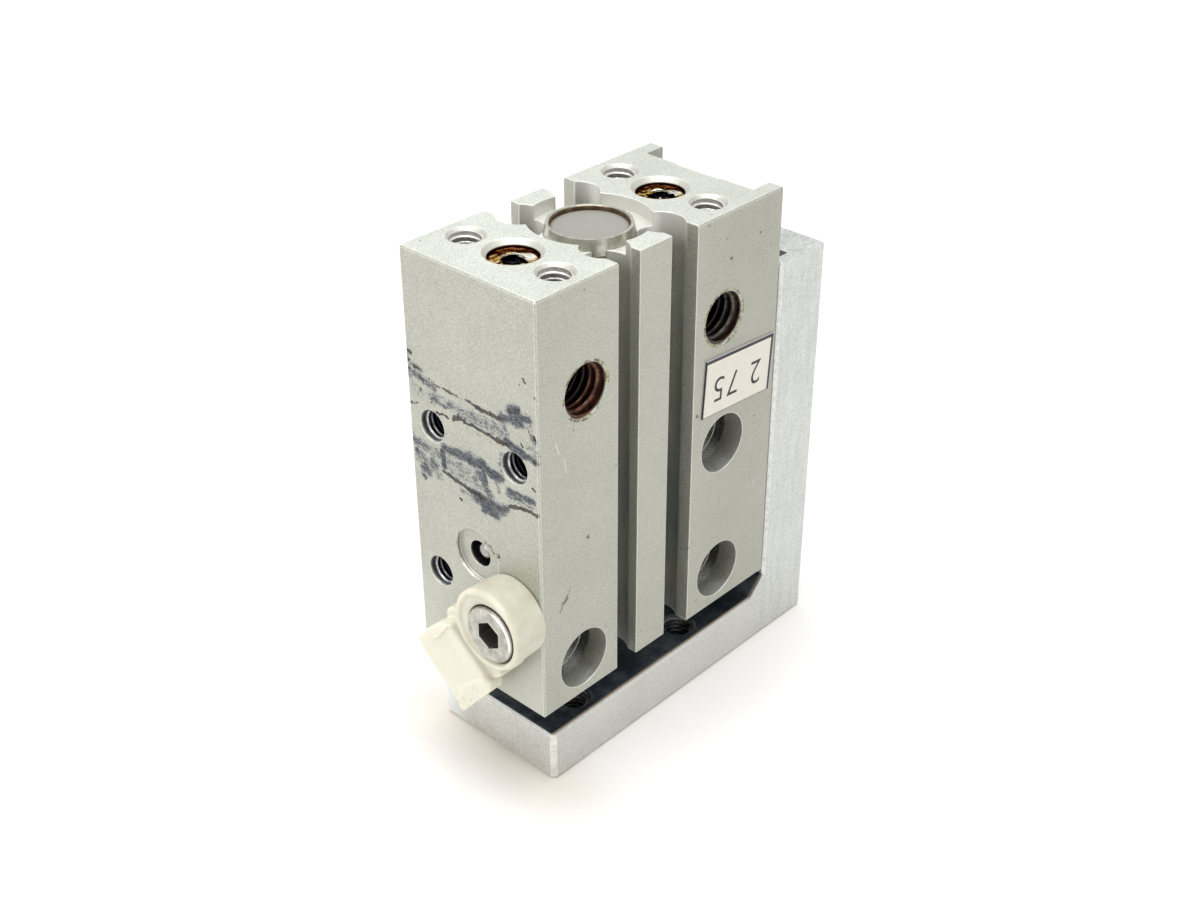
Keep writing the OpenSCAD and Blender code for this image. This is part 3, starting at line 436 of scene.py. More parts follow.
# Thin broken lines along and beside the washes, given in the same way
LINES = [
    ((5.2, 39.2), (4.2, 38.8), 0.12, 0.62), ((4.2, 38.8), (2.7, 38.75), 0.12, 0.78),
    ((2.6, 38.85), (1.6, 38.8), 0.13, 0.72), ((1.4, 38.75), (0.8, 38.8), 0.09, 0.5),
    ((0.6, 38.8), (-0.8, 38.7), 0.15, 0.80), ((-0.7, 38.6), (-2.4, 38.7), 0.20, 0.86),
    ((-1.4, 38.5), (-3.6, 38.65), 0.18, 0.86), ((-2.4, 38.7), (-3.9, 38.7), 0.14, 0.9),
    ((7.0, 39.1), (5.6, 38.7), 0.13, 0.66), ((5.5, 38.5), (4.4, 38.2), 0.10, 0.5),
    ((7.9, 41.0), (7.3, 40.9), 0.20, 0.80), ((7.9, 40.2), (7.6, 40.1), 0.17, 0.80),
    ((7.1, 39.6), (6.5, 39.7), 0.16, 0.80), ((7.9, 39.4), (7.6, 39.3), 0.15, 0.75),
    ((6.4, 37.7), (6.2, 37.7), 0.15, 0.70), ((4.9, 36.9), (5.0, 36.8), 0.12, 0.75),
    ((7.8, 35.8), (6.9, 36.1), 0.12, 0.66), ((4.4, 36.1), (3.0, 36.15), 0.16, 0.92),
    ((2.3, 36.2), (2.0, 36.3), 0.13, 0.9), ((2.2, 36.4), (1.2, 36.8), 0.24, 0.80),
    ((1.6, 36.8), (0.6, 36.6), 0.20, 0.86), ((0.9, 36.4), (-0.2, 36.7), 0.15, 0.92),
    ((0.0, 36.6), (-2.6, 36.5), 0.17, 0.92), ((-1.4, 36.55), (-3.8, 36.3), 0.17, 0.96),
    ((-3.2, 36.5), (-4.4, 36.4), 0.22, 0.80), ((-6.8, 39.0), (-7.2, 38.5), 0.10, 0.60),
    ((3.9, 30.3), (2.2, 30.0), 0.20, 0.92), ((2.4, 30.0), (0.6, 29.9), 0.20, 0.96),
    ((0.9, 29.8), (-1.2, 29.6), 0.22, 1.00), ((-4.3, 30.3), (-5.6, 30.6), 0.17, 1.00),
    ((-5.4, 30.6), (-6.6, 30.8), 0.17, 1.00), ((-6.4, 30.8), (-7.6, 30.8), 0.19, 1.00),
    ((-7.8, 31.0), (-7.85, 30.9), 0.15, 0.95), ((-7.2, 33.4), (-7.5, 33.2), 0.15, 1.0),
    ((-7.6, 38.5), (-7.7, 38.1), 0.17, 1.0), ((-7.5, 36.3), (-7.7, 36.1), 0.14, 0.9),
    ((-6.5, 43.5), (-6.6, 43.2), 0.14, 0.8), ((-7.7, 42.3), (-7.75, 42.2), 0.12, 0.8),
    ((1.9, 28.3), (1.7, 28.2), 0.13, 0.9), ((-2.4, 38.9), (-2.5, 38.7), 0.12, 0.9),
    ((-6.0, 37.2), (-6.1, 37.0), 0.12, 0.9), ((-5.9, 42.9), (-6.0, 42.8), 0.08, 0.6),
]
given = {"Vector": point, "Scale": 1 / (0.9 * MM), "Detail": 5.0, "Roughness": 0.7}
wander = put(tree, "ShaderNodeTexNoise", given).outputs["Color"]
offset = vectors(tree, "SUBTRACT", wander, (0.5, 0.5, 0.5))
offset = vectors(tree, "MULTIPLY", offset, (0, 0.9 * MM, 0.8 * MM))
ragged = vectors(tree, "ADD", point, offset)
wiped = noise(tree, point, 0.17 * MM, detail=3, stretch=(3, 6, 1), rough=0.65)
grain = noise(tree, point, 0.20 * MM, detail=3, rough=0.75)
blotch = noise(tree, point, 0.7 * MM, detail=3, rough=0.6)
torn = maths(tree, "ADD", times(tree, wiped, 3.2), times(tree, grain, 4.0))
torn = maths(tree, "ADD", torn, times(tree, blotch, 2.6))
torn = maths(tree, "SUBTRACT", torn, 4.9)
body_of_mark = ramp(tree, maths(tree, "ADD", wiped, grain), 0.82, 1.12, 0.62, 1.0)


def broken_up(tree, mark, gain, rest):
    """Turns a soft mark into flecks that thin out towards its edges."""
    level = maths(tree, "ADD", maths(tree, "MULTIPLY_ADD", mark, gain, rest), torn)
    return times(tree, ramp(tree, level, -0.35, 0.45), ramp(tree, mark, 0.04, 0.22))


wash = strokes(tree, ragged, WASHES, on_narrow, 0.95)
cover = broken_up(tree, wash, 3.0, -1.20)
film = times(tree, ramp(tree, wash, 0.08, 0.70), 0.38)
tone = lay(tree, ramp(tree, wash, 0.25, 0.90), (0.19, 0.195, 0.205, 1), (0.048, 0.056, 0.074, 1))
colour = lay(tree, film, colour, (0.20, 0.21, 0.22, 1))
colour = lay(tree, times(tree, cover, body_of_mark), colour, tone)
line = strokes(tree, ragged, LINES, on_narrow, 0.75)
broken = broken_up(tree, line, 3.0, -1.55)
warm = ramp(tree, noise(tree, point, 1.8 * MM), 0.45, 0.55)
line_tone = lay(tree, warm, (0.040, 0.027, 0.024, 1), (0.034, 0.037, 0.050, 1))
line_tone = lay(tree, ramp(tree, noise(tree, point, 0.5 * MM), 0.4, 0.6), line_tone, (0.09, 0.07, 0.06, 1))
colour = lay(tree, broken, colour, line_tone, 0.92)

# Small nicks, a brown scrape and three bright scratches on the wide face
nicks = [((-11.1, 22.3), (-11.3, 21.2), 0.05, 0.5), ((9.7, 46.3), (9.8, 46.25), 0.15, 1.0),
         ((4.75, 17.8), (4.95, 17.5), 0.16, 1.0), ((-8.95, 26.0), (-8.85, 25.9), 0.14, 1.0),
         ((-1.9, 36.4), (-1.95, 36.3), 0.10, 0.9), ((5.6, 31.9), (5.7, 31.8), 0.14, 0.9),
         ((3.6, 28.3), (3.9, 28.0), 0.22, 1.0), ((0.2, 27.6), (0.3, 27.5), 0.10, 0.9),
         ((7.7, 38.5), (7.8, 38.35), 0.15, 1.0), ((13.6, 47.6), (13.8, 47.4), 0.10, 0.8)]
scratch = broken_up(tree, strokes(tree, ragged, nicks, on_wide, 0.7), 3.0, -1.0)
colour = lay(tree, scratch, colour, (0.11, 0.09, 0.07, 1), 0.8)
scrape = [((-11.6, 20.8), (-12.1, 20.3), 0.26, 0.85), ((-11.3, 21.5), (-11.6, 20.8), 0.10, 0.60),
          ((-12.2, 20.1), (-12.5, 19.7), 0.20, 0.80)]
scratch = strokes(tree, ragged, scrape, on_wide, 0.9)
colour = lay(tree, times(tree, broken_up(tree, scratch, 3.0, -1.7), 0.75), colour, (0.16, 0.115, 0.07, 1))
bright_lines = [((-12.7, 37.1), (-12.3, 35.9), 0.04, 1.0), ((-11.7, 35.2), (-11.5, 33.8), 0.035, 1.0),
                ((14.6, 20.8), (14.9, 19.6), 0.03, 0.8)]
scratch = strokes(tree, point, bright_lines, on_wide, 0.5)
colour = lay(tree, scratch, colour, (0.85, 0.86, 0.84, 1), 0.6)

# How far a spot lies below each of three faces
into_wide = maths(tree, "SUBTRACT", axes["Y"], wide_y)
into_narrow = maths(tree, "SUBTRACT", axes["X"], narrow_x)
into_head = maths(tree, "SUBTRACT", head_z, axes["Z"])

# Cleaner low end of the narrow face
clean_end = times(tree, ramp(tree, axes["Z"], 24 * MM, 9 * MM), ramp(tree, into_narrow, 0.05 * MM, 0.02 * MM))
colour = lay(tree, clean_end, colour, (0.66, 0.655, 0.59, 1), 0.35)


# Walls of the holes: oily ports with painted shade deep inside, sealant over the head end's
# balls, narrow-face and head-end holes painted dark as shade, and counterbores whose turned
# walls are painted dark as shade, with a painted highlight low on one side
def two_down(axis_x, first_z, last_z):
    """A pair of axes below the head end, one at each side."""
    return [((s * axis_x, 0, first_z), (s * axis_x, 0, last_z)) for s in (-1, 1)]


def two_in(first_y, last_y):
    """The axes of the two ports between two depths."""
    return [((s * PORT_X, first_y, PORT_Z), (s * PORT_X, last_y, PORT_Z)) for s in (-1, 1)]


def four_down(first_z, last_z):
    """The axes of the head end's four tapped holes between two levels."""
    return [((x, y, first_z), (x, y, last_z)) for x, y in HEAD_HOLES]


PAST_WALL = 0.12 * MM    # how far the tone of a hole reaches past its wall
deposit = noise(tree, point, 0.7 * MM, detail=4)
speck = noise(tree, point, 0.3 * MM, detail=3)
ports = holes(tree, point, two_in(wide_y + 1.0 * MM, 0), PORT_R + PAST_WALL)
oil_and_deep_shade = lay(tree, ramp(tree, deposit, 0.42, 0.62), (0.030, 0.012, 0.010, 1), (0.12, 0.038, 0.020, 1))
# Painted shade: the ports' oil turns near-black deeper in
oil_and_deep_shade = lay(tree, ramp(tree, into_wide, 0.4 * MM, 2.2 * MM), oil_and_deep_shade, (0.008, 0.005, 0.006, 1))
colour = lay(tree, ports, colour, oil_and_deep_shade)
rims = holes(tree, point, two_in(wide_y - MM, wide_y + MM), PORT_R + 0.30 * MM, 0.10 * MM)
crust = times(tree, maths(tree, "SUBTRACT", rims, ports, clamp=True), ramp(tree, deposit, 0.42, 0.52))
residue = lay(tree, ramp(tree, speck, 0.42, 0.58), (0.045, 0.035, 0.016, 1), (0.36, 0.34, 0.13, 1))
colour = lay(tree, crust, colour, residue, 0.9)
ball_mouths = holes(tree, point, two_down(BALL_X, head_z - 0.2 * MM, head_z - 0.5 * MM), 2.9 * MM)
screw_mouths = holes(tree, point, four_down(head_z - 0.1 * MM, head_z - 0.3 * MM), 2.0 * MM)
mouths = greater(tree, ball_mouths, screw_mouths)
mouths = times(tree, mouths, ramp(tree, into_head, 0.01 * MM, 0.05 * MM))
# Painted highlight: the chamfers of the head end's hole mouths painted lighter
colour = lay(tree, mouths, colour, (0.66, 0.655, 0.60, 1), 0.5)

# Painted light on the walls where the grooves and the bore's recess open at the head end, fading downward
recess = holes(tree, point, [((0, 0, head_z), (0, 0, head_z - 1.2 * MM))], 5.75 * MM)
hollow = times(tree, greater(tree, grooves, recess), ramp(tree, into_head, 0.02 * MM, 0.08 * MM))
painted_wall_light = times(tree, hollow, ramp(tree, into_head, 3.2 * MM, 1.0 * MM))
colour = lay(tree, painted_wall_light, colour, (0.80, 0.795, 0.75, 1), 0.75)
golden = holes(tree, point, two_down(BALL_X, head_z - 1.05 * MM, head_z - 6 * MM), BALL_R + 0.10 * MM)
sealant_stain = lay(tree, ramp(tree, deposit, 0.40, 0.60), (0.13, 0.050, 0.020, 1), (0.05, 0.020, 0.008, 1))
colour = lay(tree, golden, colour, sealant_stain)
# Painted shade: the narrow face's tapped holes darken to near-black inward
side_lines = [((narrow_x + 0.85 * MM, y, z), (narrow_x + 8 * MM, y, z)) for y, z in SIDE_HOLES]
shaded_holes = holes(tree, point, side_lines, M3_R + PAST_WALL)
deepening_shade = ramp(tree, into_narrow, 0.1 * MM, 0.7 * MM)
colour = lay(tree, shaded_holes, colour, lay(tree, deepening_shade, (0.16, 0.16, 0.17, 1), (0.006, 0.007, 0.013, 1)))
# Painted shade deep in the head end's tapped holes
head_hole_shade = holes(tree, point, four_down(head_z - 1.8 * MM, 40 * MM), M3_R + PAST_WALL)
head_hole_shade = times(tree, head_hole_shade, ramp(tree, into_head, 0.8 * MM, 2.6 * MM))
colour = lay(tree, head_hole_shade, colour, (0.05, 0.05, 0.05, 1))
bore_places = ((-9.5, 12.85), (9.5, 12.85), (9.5, 27.35))
bore_ends = (wide_y + 3.0 * MM, wide_y + 3.3 * MM)
bore_lines = [[(x * MM, y, z * MM) for y in bore_ends] for x, z in bore_places]
counterbores = holes(tree, point, bore_lines, 3.10 * MM)
bored = times(tree, counterbores, ramp(tree, into_wide, 0.02 * MM, 0.08 * MM))
shoulder = times(tree, bored, ramp(tree, into_wide, 3.34 * MM, 3.42 * MM))
highlight_lines = [(((x + 1.6) * MM, wide_y, (z - 2.7) * MM), ((x + 1.0) * MM, wide_y + 1.8 * MM, (z - 3.0) * MM))
             for x, z in bore_places]
highlight_side = holes(tree, point, highlight_lines, 1.4 * MM, 1.2 * MM)
swarf = noise(tree, point, 2.0 * MM, detail=1)
drill_brown = lay(tree, ramp(tree, swarf, 0.4, 0.6), (0.36, 0.30, 0.24, 1), (0.22, 0.18, 0.14, 1))
# Counterbore walls painted dark as shade, with a painted highlight on the low side
wall_shade_and_highlight = lay(tree, highlight_side, (0.125, 0.128, 0.122, 1), (0.90, 0.91, 0.88, 1))
colour = lay(tree, bored, colour, wall_shade_and_highlight, 0.85)
colour = lay(tree, shoulder, colour, drill_brown)

# The narrow face's ball well painted black as shade, the sealant that oozed from it, and its spot face's
# edge, with a painted shade line on one side and a painted highlight below
ball_line = [((narrow_x + 0.95 * MM, 0, CROSS_BALL_Z), (narrow_x + 6 * MM, 0, CROSS_BALL_Z))]
colour = lay(tree, holes(tree, point, ball_line, 1.38 * MM), colour, (0.012, 0.011, 0.012, 1))
trail = [((-0.9, 24.6), (-1.6, 24.3), 0.32, 1.0), ((-1.5, 24.2), (-2.1, 23.9), 0.34, 1.0),
         ((-2.0, 24.0), (-2.6, 24.3), 0.22, 1.0), ((-1.9, 23.8), (-2.1, 23.2), 0.24, 1.0),
         ((-2.0, 23.3), (-2.15, 22.4), 0.14, 1.0), ((-0.65, 21.6), (-0.75, 21.4), 0.22, 1.0)]
oozed = broken_up(tree, strokes(tree, ragged, trail, on_narrow, 0.8), 3.4, -1.3)
ooze_tone = lay(tree, ramp(tree, speck, 0.45, 0.55), (0.30, 0.25, 0.13, 1), (0.035, 0.020, 0.012, 1))
colour = lay(tree, oozed, colour, ooze_tone, 0.9)
# Painted shade along the spot face's left wall
rim_shade_line = [((2.30, 24.5), (2.66, 23.3), 0.13, 1.0), ((2.66, 23.3), (2.35, 21.9), 0.15, 1.0)]
rim_shade_dirt_and_highlight = strokes(tree, point, rim_shade_line, on_narrow, 0.6)
colour = lay(tree, rim_shade_dirt_and_highlight, colour, (0.10, 0.08, 0.06, 1), 0.75)
crumbs = [((-0.2, 24.4), (0.5, 23.9), 0.20, 1.0), ((0.8, 21.9), (0.9, 21.6), 0.10, 1.0),
          ((-0.1, 20.9), (-0.2, 20.8), 0.12, 1.0)]
rim_shade_dirt_and_highlight = strokes(tree, ragged, crumbs, on_narrow, 0.7)
colour = lay(tree, rim_shade_dirt_and_highlight, colour, (0.05, 0.03, 0.02, 1), 0.9)
# Painted highlight on the spot face's lower wall
rim_shade_dirt_and_highlight = strokes(tree, point, [((1.9, 21.30), (0.8, 20.62), 0.16, 1.0)], on_narrow, 0.5)
colour = lay(tree, rim_shade_dirt_and_highlight, colour, (0.97, 0.97, 0.94, 1), 0.9)

# Brightened edges, and how glossy and how metallic the parts of the surface are
wet = greater(tree, ports, golden)
bright = times(tree, edge["Worn"], maths(tree, "SUBTRACT", 0.85, wet), clamp=True)
colour = lay(tree, bright, colour, (0.90, 0.90, 0.86, 1))
bore_shine = times(tree, greater(tree, wet, bored), 0.20)
rough = maths(tree, "SUBTRACT", ramp(tree, skin["Shade"], 0.8, 1.2, 0.42, 0.54), bore_shine)
marked = greater(tree, cover, broken)
flank = times(tree, bored, ramp(tree, into_wide, 3.28 * MM, 3.20 * MM))
metal = maths(tree, "MULTIPLY_ADD", greater(tree, marked, flank), 0.33, 0.65)
metal = maths(tree, "SUBTRACT", metal, times(tree, shoulder, 0.40))
metal = maths(tree, "SUBTRACT", metal, times(tree, times(tree, highlight_side, flank), 0.60))
tree.links.new(metal, shader.inputs["Metallic"])
finish(tree, shader, colour, rough, skin["Height"], 0.005 * MM, edge["Normal"])
paint(body_metal, "cylinder_body")

# ------------------------------------------------------------------ cut threads
# Right-hand threads of the air ports and the screw holes. The drilled wall is the thread's root;
# one ridge of trapezoid section winds down each hole and fades out at both ends.
thread = bpy.data.node_groups.new("cut_thread", "GeometryNodeTree")
thread.interface.new_socket("Mouths", in_out="INPUT", socket_type="NodeSocketGeometry")
for label in ("Radius", "Pitch", "Turns", "Depth"):
    thread.interface.new_socket(label, in_out="INPUT", socket_type=FLOAT)
thread.interface.new_socket("Turn", in_out="INPUT", socket_type=VECTOR)
thread.interface.new_socket("Finish", in_out="INPUT", socket_type="NodeSocketMaterial")
thread.interface.new_socket("Ridges", in_out="OUTPUT", socket_type="NodeSocketGeometry")
given = put(thread, "NodeGroupInput").outputs
length = times(thread, given["Pitch"], given["Turns"])
form = {"Resolution": 40, "Rotations": given["Turns"], "Height": length, "Reverse": True}
form |= {"Start Radius": given["Radius"], "End Radius": given["Radius"]}
helix = put(thread, "GeometryNodeCurveSpiral", form).outputs[0]
upright = put(thread, "GeometryNodeSetCurveNormal", {"Curve": helix}, mode="Z_UP").outputs[0]
root, crest = times(thread, given["Pitch"], 0.86), times(thread, given["Pitch"], 0.14)
form = {"Height": given["Depth"], "Bottom Width": root, "Top Width": crest, "Offset": 0.0}
section = put(thread, "GeometryNodeCurvePrimitiveQuadrilateral", form, mode="TRAPEZOID").outputs[0]
inward = put(thread, "ShaderNodeCombineXYZ", {"X": times(thread, given["Depth"], -0.5)}).outputs[0]
form = {"Geometry": section, "Rotation": (0, 0, math.pi / 2), "Translation": inward}
section = put(thread, "GeometryNodeTransform", form).outputs[0]
factor = put(thread, "GeometryNodeSplineParameter").outputs["Factor"]
nearer_end = maths(thread, "MINIMUM", factor, maths(thread, "SUBTRACT", 1.0, factor))
fade = times(thread, times(thread, nearer_end, given["Turns"]), 2.5)
size = greater(thread, maths(thread, "MINIMUM", fade, 1.0), 0.05)
form = {"Curve": upright, "Profile Curve": section, "Scale": size, "Fill Caps": True}
ridge = put(thread, "GeometryNodeCurveToMesh", form).outputs[0]
sunk = put(thread, "ShaderNodeCombineXYZ", {"Z": times(thread, length, -1.0)}).outputs[0]
ridge = put(thread, "GeometryNodeTransform", {"Geometry": ridge, "Translation": sunk}).outputs[0]
form = {"Points": given["Mouths"], "Instance": ridge, "Rotation": given["Turn"]}
placed = put(thread, "GeometryNodeInstanceOnPoints", form).outputs[0]
real = put(thread, "GeometryNodeRealizeInstances", {"Geometry": placed}).outputs[0]
painted = put(thread, "GeometryNodeSetMaterial", {"Geometry": real, "Material": given["Finish"]}).outputs[0]
put(thread, "NodeGroupOutput", (painted,))

DOWN = (0, 0, 0)                       # mouth faces +Z
INTO_WIDE = (math.pi / 2, 0, 0)        # mouth faces -Y
INTO_NARROW = (0, -math.pi / 2, 0)     # mouth faces -X
INTO_LEG = (0, math.pi / 2, 0)         # mouth faces +X


def grown_mesh(piece):
    """The mesh that an object's modifiers or its letters make."""
    return bpy.data.meshes.new_from_object(piece.evaluated_get(bpy.context.evaluated_depsgraph_get()))


def cut_threads(name, body, mouths, turn, radius, pitch, length, finish_with):
    """One piece with a thread at each mouth, grown by the node tree and turned into a mesh."""
    seed = bpy.data.meshes.new(name)
    seed.from_pydata(mouths, [], [])
    piece = added(name, seed)
    grow = piece.modifiers.new("threads", "NODES")
    grow.node_group = thread
    wanted = {"Radius": radius + 0.01 * MM, "Pitch": pitch, "Turns": length / pitch, "Depth": 0.54 * pitch}
    wanted |= {"Turn": turn, "Finish": finish_with}
    for item in thread.interface.items_tree:
        if item.in_out == "INPUT" and item.name in wanted:
            grow[item.identifier] = wanted[item.name]
    piece.data = grown_mesh(piece)
    piece.modifiers.clear()
    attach(piece, body)


def thread_metal(name, axis, mouth, fade, metallic, light, dark, deep_shade):
    """Thread flanks: cut metal with darker deposits, turning to painted shade down the hole,
    over the two depths of fade in millimetres below the mouth's level along the axis."""
    material, tree, shader, point = surface(name, metallic)
    cloud = noise(tree, point, 0.8 * MM, detail=4, rough=0.65)
    down = maths(tree, "ABSOLUTE", maths(tree, "SUBTRACT", parts(tree, point)[axis], mouth))
    colour = lay(tree, ramp(tree, cloud, 0.38, 0.62), light, dark)
    colour = lay(tree, ramp(tree, down, fade[0] * MM, fade[1] * MM), colour, deep_shade)
    finish(tree, shader, colour, ramp(tree, cloud, 0.3, 0.7, 0.24, 0.42), cloud, 0.02 * MM)
    return material


port_rust = thread_metal("port_thread_rust", "Y", wide_y, (0.9, 2.8), 0.5,
                         (0.20, 0.085, 0.045, 1), (0.05, 0.016, 0.010, 1), (0.008, 0.004, 0.005, 1))
port_oil = thread_metal("port_thread_oil", "Y", wide_y, (0.9, 2.8), 0.5,
                        (0.13, 0.105, 0.085, 1), (0.03, 0.028, 0.024, 1), (0.008, 0.005, 0.005, 1))
bright_cut = thread_metal("bright_cut_thread", "Z", head_z, (1.8, 3.6), 0.75,
                          (0.80, 0.79, 0.76, 1), (0.60, 0.58, 0.57, 1), (0.24, 0.235, 0.24, 1))
shaded_cut = thread_metal("shaded_cut_thread", "X", narrow_x, (0.7, 1.5), 0.8,
                        (0.62, 0.62, 0.61, 1), (0.28, 0.28, 0.30, 1), (0.008, 0.010, 0.024, 1))
M5_PITCH, M3_PITCH = 0.8 * MM, 0.5 * MM
MOUTH_GAP = 0.25 * MM    # how far a thread starts below the face
for name, side, cut_metal in (("left_port_thread", -1, port_rust), ("right_port_thread", 1, port_oil)):
    cut_threads(name, CYLINDER, [(side * PORT_X, wide_y + 0.2 * MM, PORT_Z)],
                INTO_WIDE, PORT_R, M5_PITCH, 4.7 * MM, cut_metal)
cut_threads("head_hole_threads", CYLINDER,
            [(x, y, head_z - MOUTH_GAP) for x, y in HEAD_HOLES],
            DOWN, M3_R, M3_PITCH, 5.6 * MM, bright_cut)
cut_threads("narrow_face_threads", CYLINDER,
            [(narrow_x + MOUTH_GAP, y, z) for y, z in SIDE_HOLES],
            INTO_NARROW, M3_R, M3_PITCH, 4.6 * MM, shaded_cut)

# ------------------------------------------------------------------ table
# The L-shaped table, milled from an aluminium bar and anodised a shade lighter than the body,
# with end-mill streaks along its sides, a top to the foot painted near-black as shade, painted
# light on its end and corners, and rubbed edges. The rod's end and the guide's block carry it.
_, table_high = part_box("table")
FOOT_TOP = 5.4 * MM
FOOT_GREY = (0.610, 0.607, 0.575, 1)
LEG_GREY = (0.590, 0.602, 0.575, 1)

table_metal, tree, shader, point = surface("table_milled_anodised", 0.65)
skin = use(tree, satin, Point=point, Speckle=0.90, Mottle=0.16, Pits=0.5)
edge = use(tree, edges, Width=0.14 * MM)
facing = flat_normal(tree)
place = parts(tree, point)
beside_middle = maths(tree, "ABSOLUTE", place["Y"])
streaks = noise(tree, point, 0.13 * MM, detail=3, stretch=(6, 6, 1), rough=0.75)
bands = noise(tree, point, 0.45 * MM, detail=3, stretch=(1, 1, 9))
milled = around(tree, streaks, 0.55, skin["Shade"])
milled = around(tree, bands, 0.35, milled)
on_leg = ramp(tree, place["X"], 16.5 * MM, 17.5 * MM)
milled = put(tree, "ShaderNodeMix", {0: on_leg, 2: skin["Shade"], 3: milled}, data_type="FLOAT").outputs[0]
colour = lay(tree, on_leg, FOOT_GREY, LEG_GREY)
colour = tint_by(tree, colour, milled)
# Painted light on the far part of the foot's end face
end_face_light = ramp(tree, place["X"], -12.9 * MM, -13.1 * MM)
end_face_light = times(tree, ramp(tree, place["Y"], 3.5 * MM, 7 * MM), end_face_light)
colour = lay(tree, end_face_light, colour, (0.80, 0.86, 0.86, 1), 0.85)
colour = lay(tree, skin["Pit"], colour, (0.16, 0.145, 0.12, 1))

# The top of the foot inside its bright brim, painted near-black with a dusty tone as the shade in the gap
# under the body, and the grey top of the leg
inside_rim = times(tree, ramp(tree, beside_middle, 7.31 * MM, 7.25 * MM),
                   ramp(tree, place["X"], -13.02 * MM, -12.96 * MM))
upward = times(tree, ramp(tree, facing["Z"], 0.30, 0.55), inside_rim)
below_leg = ramp(tree, place["Z"], 8.5 * MM, 8.0 * MM)
above_sides = ramp(tree, place["Z"], 5.05 * MM, 5.15 * MM)
foot_top_shade = times(tree, times(tree, upward, below_leg), above_sides)
brim = ramp(tree, beside_middle, 7.02 * MM, 7.08 * MM)
worn_brim = times(tree, brim, ramp(tree, noise(tree, point, 0.45 * MM, detail=4), 0.28, 0.42))
dusty = ramp(tree, noise(tree, point, 2.2 * MM, detail=4, rough=0.65), 0.35, 0.70)
foot_top_shade_tone = lay(tree, dusty, (0.026, 0.038, 0.058, 1), (0.105, 0.122, 0.135, 1))
colour = lay(tree, foot_top_shade, colour, foot_top_shade_tone)
colour = lay(tree, times(tree, worn_brim, foot_top_shade), colour, (0.36, 0.30, 0.23, 1))
leg_end = times(tree, upward, ramp(tree, place["Z"], 40 * MM, 41 * MM))
colour = tint_by(tree, colour, (0.80, 0.82, 0.82, 1), leg_end)

# Chamfered corners painted bright as a highlight, broken up by noise, and rubbed edges
corner = ramp(tree, maths(tree, "ABSOLUTE", times(tree, facing["X"], facing["Y"])), 0.25, 0.40)
corner_highlight = times(tree, corner, ramp(tree, noise(tree, point, 0.5 * MM, detail=3), 0.35, 0.6, 0.3, 0.75))
colour = lay(tree, corner_highlight, colour, (0.90, 0.90, 0.89, 1))
bright = times(tree, edge["Worn"], maths(tree, "SUBTRACT", 0.8, foot_top_shade), clamp=True)
colour = lay(tree, bright, colour, (0.86, 0.87, 0.85, 1))
rough = ramp(tree, milled, 0.8, 1.2, 0.40, 0.55)
relief = maths(tree, "MULTIPLY_ADD", streaks, on_leg, skin["Height"])
finish(tree, shader, colour, rough, relief, 0.006 * MM, edge["Normal"])
paint(table_metal, "table")

FOOT_HOLE_X, FOOT_HOLE_Y, LEG_HOLE_Z, LEG_HOLE_PITCH = 7.6 * MM, 4.8 * MM, 12.6 * MM, 26 * MM
# The foot's threads sit in the gap under the body: painted dark as shade
foot_cut_in_shade = thread_metal("foot_thread_in_shade", "Z", FOOT_TOP, (1.2, 3.0), 0.7,
                         (0.13, 0.13, 0.14, 1), (0.03, 0.032, 0.04, 1), (0.01, 0.01, 0.012, 1))
leg_cut = thread_metal("leg_cut_thread", "X", table_high.x, (1.6, 3.2), 0.85,
                       (0.70, 0.70, 0.66, 1), (0.45, 0.44, 0.42, 1), (0.20, 0.20, 0.20, 1))
cut_threads("foot_threads", TABLE,
            [(x * FOOT_HOLE_X, y * FOOT_HOLE_Y, FOOT_TOP - MOUTH_GAP) for x, y in four_ways],
            DOWN, M3_R, M3_PITCH, 5.1 * MM, foot_cut_in_shade)
cut_threads("leg_threads", TABLE,
            [(table_high.x - MOUTH_GAP, y * FOOT_HOLE_Y, LEG_HOLE_Z + k * LEG_HOLE_PITCH)
             for y in (-1, 1) for k in (0, 1)],
            INTO_LEG, M3_R, M3_PITCH, 2.7 * MM, leg_cut)


# ------------------------------------------------------------------ head cover and its ring
# A plain aluminium cover turned from bar, with painted brown shade round its edge. It lies sunk
# below the bright steel ring that is rolled over it and holds it in the bore, and that has
# tarnished inside, with painted shade on that inner wall.
def from_centre(tree, point):
    """How far a spot is from the Z axis."""
    return vectors(tree, "LENGTH", vectors(tree, "MULTIPLY", point, (1, 1, 0)), out="Value")


def turned_metal(name, light, dark, rough_low, rough_high, metallic=1.0, groove=0.08 * MM):
    """Turned or ground metal: fine rings along the axis, cloudy tone, and bright rubbed edges."""
    material, tree, shader, point = surface(name, metallic)
    skin = use(tree, satin, Point=point, Speckle=0.14, Mottle=0.14, Pits=0.2)
    edge = use(tree, edges, Width=0.08 * MM)
    rings = noise(tree, point, groove, detail=1, stretch=(40, 40, 1))
    cloud = noise(tree, point, 1.2 * MM, detail=3)
    colour = lay(tree, ramp(tree, cloud, 0.3, 0.7), light, dark)
    colour = tint_by(tree, colour, skin["Shade"])
    colour = lay(tree, times(tree, edge["Worn"], 0.6), colour, [min(1.0, 1.35 * c) for c in light])
    rough = ramp(tree, cloud, 0.3, 0.7, rough_low, rough_high)
    finish(tree, shader, colour, rough, rings, 0.003 * MM, edge["Normal"])
    return material


